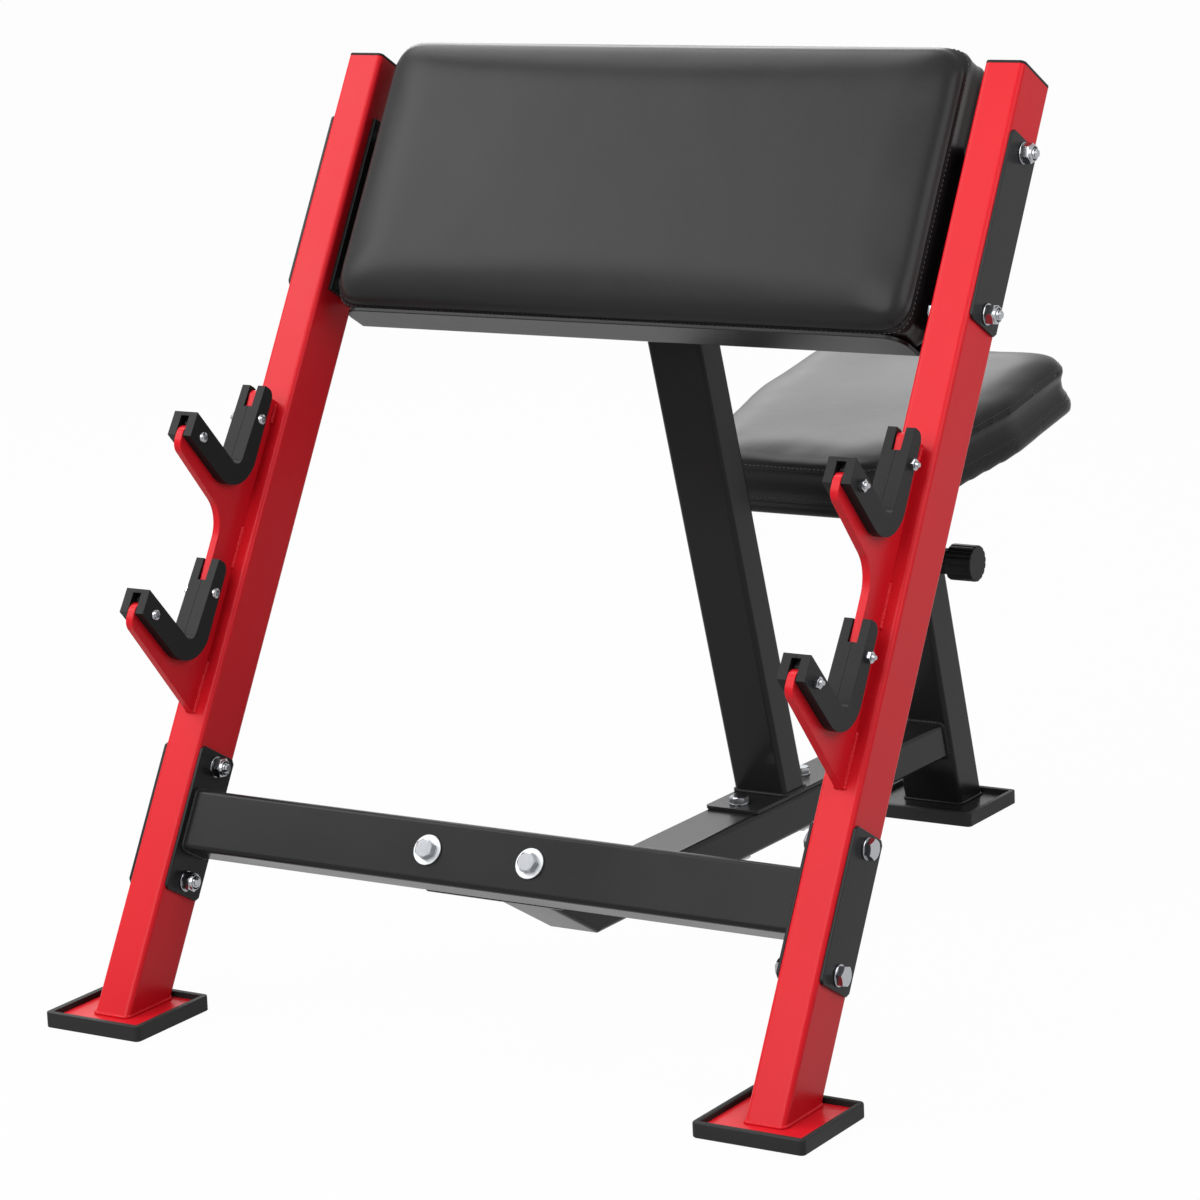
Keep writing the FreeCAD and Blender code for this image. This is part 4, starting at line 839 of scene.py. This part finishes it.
FINE_BEAD, CROSS_BEAD, POST_BEAD, RACK_BEAD, BEAM_BEAD = 1.8, 2.0, 2.4, 2.5, 2.6
CROSS_END = 331 * MM
above_foot = Vector((0, 0, FOOT_TOP + 1.0 * MM))
above_base = Vector((0, 0, 112 * MM))
behind_plates = beside(upright_frame, 55, 0)
before_rear_post = beside(rear_frame, -1.0, 0)
under_seat = beside(seat_frame, 0, -6.0)
for name, side in SIDES:
    cross_end = Vector((CROSS_END * side, 0, 0))
    bead_round(f"upright_{name}", f"weld_upright_{name}", above_foot, AXIS_Z, FINE_BEAD)
    bead_round("cross_tube", f"weld_cross_{name}", cross_end, AXIS_X, CROSS_BEAD)
bead_round("rear_post", "weld_rear_post", above_foot, AXIS_Z, FINE_BEAD)
bead_round("mid_post", "weld_mid_post", above_base, AXIS_Z, BEAM_BEAD)
bead_round("mid_post", "weld_mid_post_head", behind_plates, BEHIND, POST_BEAD)
bead_round("beam_stub", "weld_beam_stub", behind_plates, BEHIND, BEAM_BEAD)
bead_round("main_beam", "weld_beam_end", before_rear_post, BEHIND_REAR_POST, BEAM_BEAD)
bead_round("seat_post", "weld_seat_post", under_seat, SEAT_UP, POST_BEAD)

# %% Beads along the rack plates, in short runs as such plates are welded
RACK_RUNS = ((301, 354), (448, 492), (598, 619))  # mm along the upright
RACK_HALF = 4.0 * MM
for name, side in SIDES:
    runs = []
    for face in (-1, 1):
        across = UPRIGHT_X * side + RACK_HALF * face
        for ends in RACK_RUNS:
            line = [upright_frame @ Vector((across, 0, level * MM)) for level in ends]
            runs.append(bead_form(line, RACK_BEAD, closed=False))
    bm = bmesh.new()
    bm.from_mesh(joined(*runs))
    add_piece(f"weld_rack_{name}", bm, red_coat, "red_paint", "frame", sharp=80)
print("weld runs on each rack:", len(runs))

# %% [markdown]
# ## Padded vinyl
#
# The arm pad and the seat are foam on a board, wrapped in vinyl that is sewn along the edge of the crown.
# The CAD solids have the crown and the drawn-in sides. A subdivided box would look blown up like a balloon,
# so the CAD form is remeshed and its crown swollen a little by cloth pressure, while everything below the
# seam is held as the thread holds it on the real pad. The sides are then drawn back to the CAD form, and the
# arm pad's corners are filled out behind its seam. A seam is a groove cut into the mesh, with real stitches
# beside it.

# %% Remesh, swell under pressure, and smooth
SWELL_FRAMES = 20
SWELL_PRESSURE, SWELL_CAP = 2.0, 3 * MM
HELD_BLEND = 6 * MM
CROWN_SHRINK = 0.86
BACK_EDGE = 3 * MM
Seam = namedtuple("Seam", "height half_width depth thread_height")


def ramp(distance, width):
    """0 up to a place, 1 from a width beyond it, and straight between."""
    return min(max(distance / width, 0), 1)


def smooth(bm, low, high, passes):
    """Even out the points between two heights."""
    soft = [vert for vert in bm.verts if low < vert.co.z < high]
    for _ in range(passes):
        bmesh.ops.smooth_vert(bm, verts=soft, factor=0.5, use_axis_x=True, use_axis_y=True, use_axis_z=True)


def relax(mesh, above, passes):
    """Smooth the points above a height, as foam under tight vinyl does."""
    bm = bmesh.new()
    bm.from_mesh(mesh)
    smooth(bm, above, math.inf, passes)
    bm.to_mesh(mesh)
    bm.free()


def pad_blank(name, to_world, voxel, crown_from):
    """A remeshed copy of a CAD pad in its own frame, its crown lowered to leave room for the swelling."""
    bm = merged_copy(name, flatten=False)
    bmesh.ops.transform(bm, matrix=to_world.inverted(), verts=bm.verts)
    for vert in bm.verts:
        if vert.co.z > crown_from:
            vert.co.z = crown_from + (vert.co.z - crown_from) * CROWN_SHRINK
    mesh = bpy.data.meshes.new("blank")
    bm.to_mesh(mesh)
    bm.free()
    blank = bpy.data.objects.new("blank", mesh)
    scene.collection.objects.link(blank)
    remesh = blank.modifiers.new("remesh", "REMESH")
    remesh.mode, remesh.voxel_size = "VOXEL", voxel
    fresh = evaluated_mesh(blank)
    blank.modifiers.clear()
    blank.data = fresh
    relax(fresh, BACK_EDGE, passes=6)
    return blank


def swell(blank, free_from):
    """Cloth pressure on the crown, up to a cap; everything below free_from is held."""
    start = [vert.co.copy() for vert in blank.data.vertices]
    held = blank.vertex_groups.new(name="held")
    for index, co in enumerate(start):
        held.add([index], 1 - ramp(co.z - free_from, HELD_BLEND), "REPLACE")
    cloth = blank.modifiers.new("cloth", "CLOTH")
    settings = cloth.settings
    settings.quality = 6
    settings.mass = 0.3
    settings.tension_stiffness = settings.compression_stiffness = 60
    settings.bending_stiffness = 40
    settings.use_pressure = True
    settings.uniform_pressure_force = SWELL_PRESSURE
    settings.vertex_group_mass = "held"
    settings.effector_weights.gravity = 0
    cloth.collision_settings.use_collision = False
    for step in range(1, SWELL_FRAMES + 1):
        scene.frame_set(step)
    swollen = evaluated_mesh(blank)
    blank.modifiers.clear()
    for vert, before, after in zip(blank.data.vertices, start, swollen.vertices):
        move = after.co - before
        if move.length > SWELL_CAP:
            move *= SWELL_CAP / move.length
        vert.co = before + move
    bpy.data.meshes.remove(swollen)
    scene.frame_set(1)
    relax(blank.data, free_from, passes=18)


# %% Seams and stitches
ON_SEAM = 0.01 * MM
UPRIGHT_ENOUGH = 0.2  # least level part of a normal where a groove is drawn in
PAD_MIDDLE = 60 * MM
STITCH_PITCH, STITCH_LENGTH = 5.0 * MM, 3.4 * MM
THREAD_RADIUS, THREAD_LIFT = 0.55 * MM, 0.15 * MM


def outside(co):
    """Whether a point belongs to the pad's outer edge and not to its middle."""
    return abs(co.x) > PAD_MIDDLE or abs(co.y) > PAD_MIDDLE


def sew_seam(bm, seam):
    """A V groove all round at a height: three cuts, and the middle one drawn in."""
    for level in (seam.height - seam.half_width, seam.height, seam.height + seam.half_width):
        cut_plane(bm, Vector((0, 0, level)), AXIS_Z)
    bm.normal_update()
    for vert in bm.verts:
        if abs(vert.co.z - seam.height) < ON_SEAM and outside(vert.co):
            flat = Vector((vert.normal.x, vert.normal.y, 0))
            if flat.length > UPRIGHT_ENOUGH:
                vert.co -= flat.normalized() * seam.depth


def stitches(name, bm, height, body, to_world):
    """Thread along a loop at a height of a pad, one small oval for each stitch."""
    copy = bm.copy()
    loops = [loop for loop in cut_loops(copy, Vector((0, 0, height)), AXIS_Z) if outside(loop[0])]
    tree = BVHTree.FromBMesh(copy)
    spots = resampled(max(loops, key=loop_length), STITCH_PITCH)
    copy.free()
    sewn = bmesh.new()
    for index, spot in enumerate(spots):
        ahead = (spots[(index + 1) % len(spots)] - spots[index - 1]).normalized()
        where, normal, _, _ = tree.find_nearest(spot)
        turn = ahead.to_track_quat("Z", "Y").to_matrix().to_4x4()
        shape = Matrix.Diagonal((THREAD_RADIUS, THREAD_RADIUS, STITCH_LENGTH / 2, 1))
        place = Matrix.Translation(where + normal * THREAD_LIFT) @ turn @ shape
        bmesh.ops.create_uvsphere(sewn, u_segments=6, v_segments=5, radius=1, matrix=place)
    bmesh.ops.transform(sewn, matrix=to_world, verts=sewn.verts)
    add_piece(name, sewn, thread, "vinyl", body, sharp=180)
    print(name, "stitches:", len(spots))


# %% The finished pad
PAD_CORNER, CORNER_BLEND = 27 * MM, 8 * MM
CORNER_CORE = 0.7  # share of the corner's radius that stays as it is
RIPPLE_FROM, RIPPLE_WAVES = 4 * MM, 22
DRAWN_FROM, DRAWN_BLEND = 3 * MM, 5 * MM


def fuller_corners(bm, below, fullness):
    """Fill the rounded corners out behind a seam, where the foam is not pulled in by it."""
    low = [min(vert.co[axis] for vert in bm.verts) + PAD_CORNER for axis in (0, 1)]
    high = [max(vert.co[axis] for vert in bm.verts) - PAD_CORNER for axis in (0, 1)]
    for vert in bm.verts:
        centre = Vector([min(max(vert.co[axis], low[axis]), high[axis]) for axis in (0, 1)])
        aside = vert.co.xy - centre
        share = ramp(below - vert.co.z, CORNER_BLEND)
        if aside.x * aside.y and aside.length > PAD_CORNER * CORNER_CORE:
            # 1 at the middle of the corner, 0 at both its ends
            lift = 4 * (aside.x * aside.y) ** 2 / aside.length ** 4
            vert.co.xy = centre + aside * (1 + fullness * share * lift)


def finish_pad(blank, name, node, body, to_world, seams, ripple, fullness=0):
    """Subdivide once, draw the sides to the CAD form, sew the seams and put the pad in its place."""
    divide = blank.modifiers.new("divide", "SUBSURF")
    divide.levels = divide.render_levels = 1
    fresh = evaluated_mesh(blank)
    bpy.data.objects.remove(blank)
    bm = bmesh.new()
    bm.from_mesh(fresh)
    bpy.data.meshes.remove(fresh)
    form = merged_copy(node, flatten=False)
    bmesh.ops.transform(form, matrix=to_world.inverted(), verts=form.verts)
    tree = BVHTree.FromBMesh(form)
    form.free()
    top_seam = seams[0].height
    for vert in bm.verts:
        if vert.co.z > RIPPLE_FROM:
            vert.co += vert.normal * ripple * noise.noise(vert.co * RIPPLE_WAVES)
        share = ramp(top_seam + DRAWN_FROM - vert.co.z, DRAWN_BLEND)
        vert.co = vert.co.lerp(tree.find_nearest(vert.co)[0], share)
    fuller_corners(bm, top_seam, fullness)
    smooth(bm, -math.inf, top_seam, passes=4)
    for seam in seams:
        sew_seam(bm, seam)
    for number, seam in enumerate(seams):
        stitches(f"{name}_thread_{number}", bm, seam.thread_height, body, to_world)
    bmesh.ops.transform(bm, matrix=to_world, verts=bm.verts)
    pad = add_piece(name, bm, vinyl, "vinyl", body, sharp=180)
    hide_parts(node)
    print(name, "faces:", len(pad.data.polygons))


# %% The arm pad
ARM_SEAM = 46 * MM
ARM_VOXEL = 5 * MM
arm_blank = pad_blank("arm_pad", pad_frame, ARM_VOXEL, ARM_SEAM)
swell(arm_blank, ARM_SEAM)
arm_seams = [Seam(ARM_SEAM, 1.3 * MM, 1.3 * MM, ARM_SEAM - 3.5 * MM)]
finish_pad(
    arm_blank, "arm_cushion", "arm_pad", "frame", pad_frame, arm_seams,
    ripple=0.12 * MM, fullness=0.2,
)

# %% The seat
SEAT_SEAM = 46 * MM
SEAT_BAND = 13 * MM
SEAT_VOXEL = 4.5 * MM
seat_blank = pad_blank("seat_pad", seat_frame, SEAT_VOXEL, SEAT_SEAM)
swell(seat_blank, SEAT_SEAM)
seat_seams = [
    Seam(SEAT_SEAM, 1.3 * MM, 1.4 * MM, SEAT_SEAM + 4 * MM),
    Seam(SEAT_BAND, 1.1 * MM, 1.2 * MM, SEAT_BAND + 4 * MM),
]
finish_pad(
    seat_blank, "seat_cushion", "seat_pad", "seat", seat_frame, seat_seams,
    ripple=0.15 * MM,
)

# %% [markdown]
# ## The studio
#
# The bench stands on a pale seamless floor under broad, soft light. A white background could be had by
# turning the lamps up, but that would wash the paint out. The floor and the world are white only to the
# camera and to reflections, and light the bench at a plain level.

# %% Floor and world
FLOOR_REACH = 30
FLOOR_GREY, FLOOR_ROUGHNESS = 0.42, 0.9
FLOOR_WHITE = 0.975  # share of white that the camera and reflections see in the floor
WORLD_LIGHT = 0.17


def seen_directly(tree):
    """1 for camera, glossy and transmission rays, which see the white studio itself."""
    path = tree.nodes.new("ShaderNodeLightPath")
    total = path.outputs["Is Camera Ray"]
    for label in ("Is Glossy Ray", "Is Transmission Ray"):
        most = tree.nodes.new("ShaderNodeMath")
        most.operation = "MAXIMUM"
        link(tree, total, most.inputs[0])
        link(tree, path.outputs[label], most.inputs[1])
        total = most.outputs[0]
    return total


def make_floor():
    """A wide floor that shades like grey card but looks nearly white."""
    bm = bmesh.new()
    bmesh.ops.create_grid(bm, x_segments=8, y_segments=8, size=FLOOR_REACH)
    mesh = bpy.data.meshes.new("floor")
    bm.to_mesh(mesh)
    bm.free()
    floor = bpy.data.objects.new("floor", mesh)
    scene.collection.objects.link(floor)
    material = bpy.data.materials.new("pale_floor")
    material.use_nodes = True
    tree = material.node_tree
    shader = tree.nodes["Principled BSDF"]
    shader.inputs["Base Color"].default_value = (FLOOR_GREY, FLOOR_GREY, FLOOR_GREY, 1)
    shader.inputs["Roughness"].default_value = FLOOR_ROUGHNESS
    glow = tree.nodes.new("ShaderNodeEmission")
    glow.inputs["Color"].default_value = (1, 1, 1, 1)
    mix = tree.nodes.new("ShaderNodeMixShader")
    share = tree.nodes.new("ShaderNodeMath")
    share.operation = "MULTIPLY"
    share.inputs[1].default_value = FLOOR_WHITE
    link(tree, seen_directly(tree), share.inputs[0])
    link(tree, share.outputs[0], mix.inputs[0])
    link(tree, shader.outputs[0], mix.inputs[1])
    link(tree, glow.outputs[0], mix.inputs[2])
    link(tree, mix.outputs[0], tree.nodes["Material Output"].inputs["Surface"])
    mesh.materials.append(material)
    floor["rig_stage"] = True


def make_world():
    """A white backdrop that lights the bench only faintly."""
    world = bpy.data.worlds.new("studio")
    scene.world = world
    world.use_nodes = True
    tree = world.node_tree
    backdrop = tree.nodes["Background"]
    backdrop.inputs["Color"].default_value = (1, 1, 1, 1)
    level = tree.nodes.new("ShaderNodeMapRange")
    level.inputs["To Min"].default_value = WORLD_LIGHT
    level.inputs["To Max"].default_value = 1.0
    link(tree, seen_directly(tree), level.inputs["Value"])
    link(tree, level.outputs["Result"], backdrop.inputs["Strength"])


make_floor()
make_world()

# %% Lamps
# name, place, target and width in metres, watts
LAMPS = (
    ("key", (-0.4, -3.6, 2.8), (0, -0.2, 0.5), 3.0, 150),
    ("sheen", (-3.4, -2.3, 3.7), (0, -0.2, 0.6), 2.2, 120),
    ("fill", (1.3, -0.4, 1.15), (0.1, -0.2, 0.5), 0.9, 10),
    ("back", (-2.1, 2.9, 2.4), (0, 0.2, 0.5), 2.0, 38),
    ("top", (-1.5, 0.5, 3.1), (0, 0, 0.6), 1.7, 45),
)


def soft_lamp(name, place, target, width, watts):
    """A square lamp that faces a target and isn't seen itself."""
    lamp = bpy.data.lights.new(name, "AREA")
    lamp.shape, lamp.size, lamp.energy = "SQUARE", width, watts
    holder = bpy.data.objects.new(name, lamp)
    holder.location = place
    holder.rotation_euler = (Vector(place) - Vector(target)).to_track_quat("Z", "Y").to_euler()
    holder.visible_camera = False
    scene.collection.objects.link(holder)


for lamp_row in LAMPS:
    soft_lamp(*lamp_row)
print("lamps:", len(bpy.data.lights))

# %% [markdown]
# ## The camera
#
# The photograph was taken from the front right with a long lens, a little above the arm pad, and rolled by
# about two degrees. The place, the angles and the focal length come from matching known corners of the frame.

# %% Camera
AZIMUTH, ELEVATION, ROLL = math.radians(32.55), math.radians(12.27), math.radians(-2.391)
SENSOR, FOCAL_PIXELS, IMAGE = 36.0, 4119.0, 1200
CAMERA_PLACE = (2.048, -3.3965, 1.2)
back = Vector((
    math.sin(AZIMUTH) * math.cos(ELEVATION),
    -math.cos(AZIMUTH) * math.cos(ELEVATION),
    math.sin(ELEVATION),
))
level_right = Vector((math.cos(AZIMUTH), math.sin(AZIMUTH), 0))
level_up = back.cross(level_right)
right = level_right * math.cos(ROLL) + level_up * math.sin(ROLL)
up = level_up * math.cos(ROLL) - level_right * math.sin(ROLL)
camera_data = bpy.data.cameras.new("camera")
camera_data.sensor_fit, camera_data.sensor_width = "HORIZONTAL", SENSOR
camera_data.lens = FOCAL_PIXELS * SENSOR / IMAGE
camera = bpy.data.objects.new("camera", camera_data)
facing = Matrix((right, up, back)).transposed().to_4x4()
camera.matrix_world = Matrix.Translation(CAMERA_PLACE) @ facing
scene.collection.objects.link(camera)
scene.camera = camera
scene.view_settings.view_transform = "Standard"
print("lens in mm:", round(camera_data.lens, 2))

# %% Sizes of the CAD model and of the dressed scene
visual_low, visual_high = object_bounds()
sizes = {"cad": [list(cad_low), list(cad_high)], "visual": [list(visual_low), list(visual_high)]}
print("visual box in mm:", [round(v / MM) for v in visual_high - visual_low])
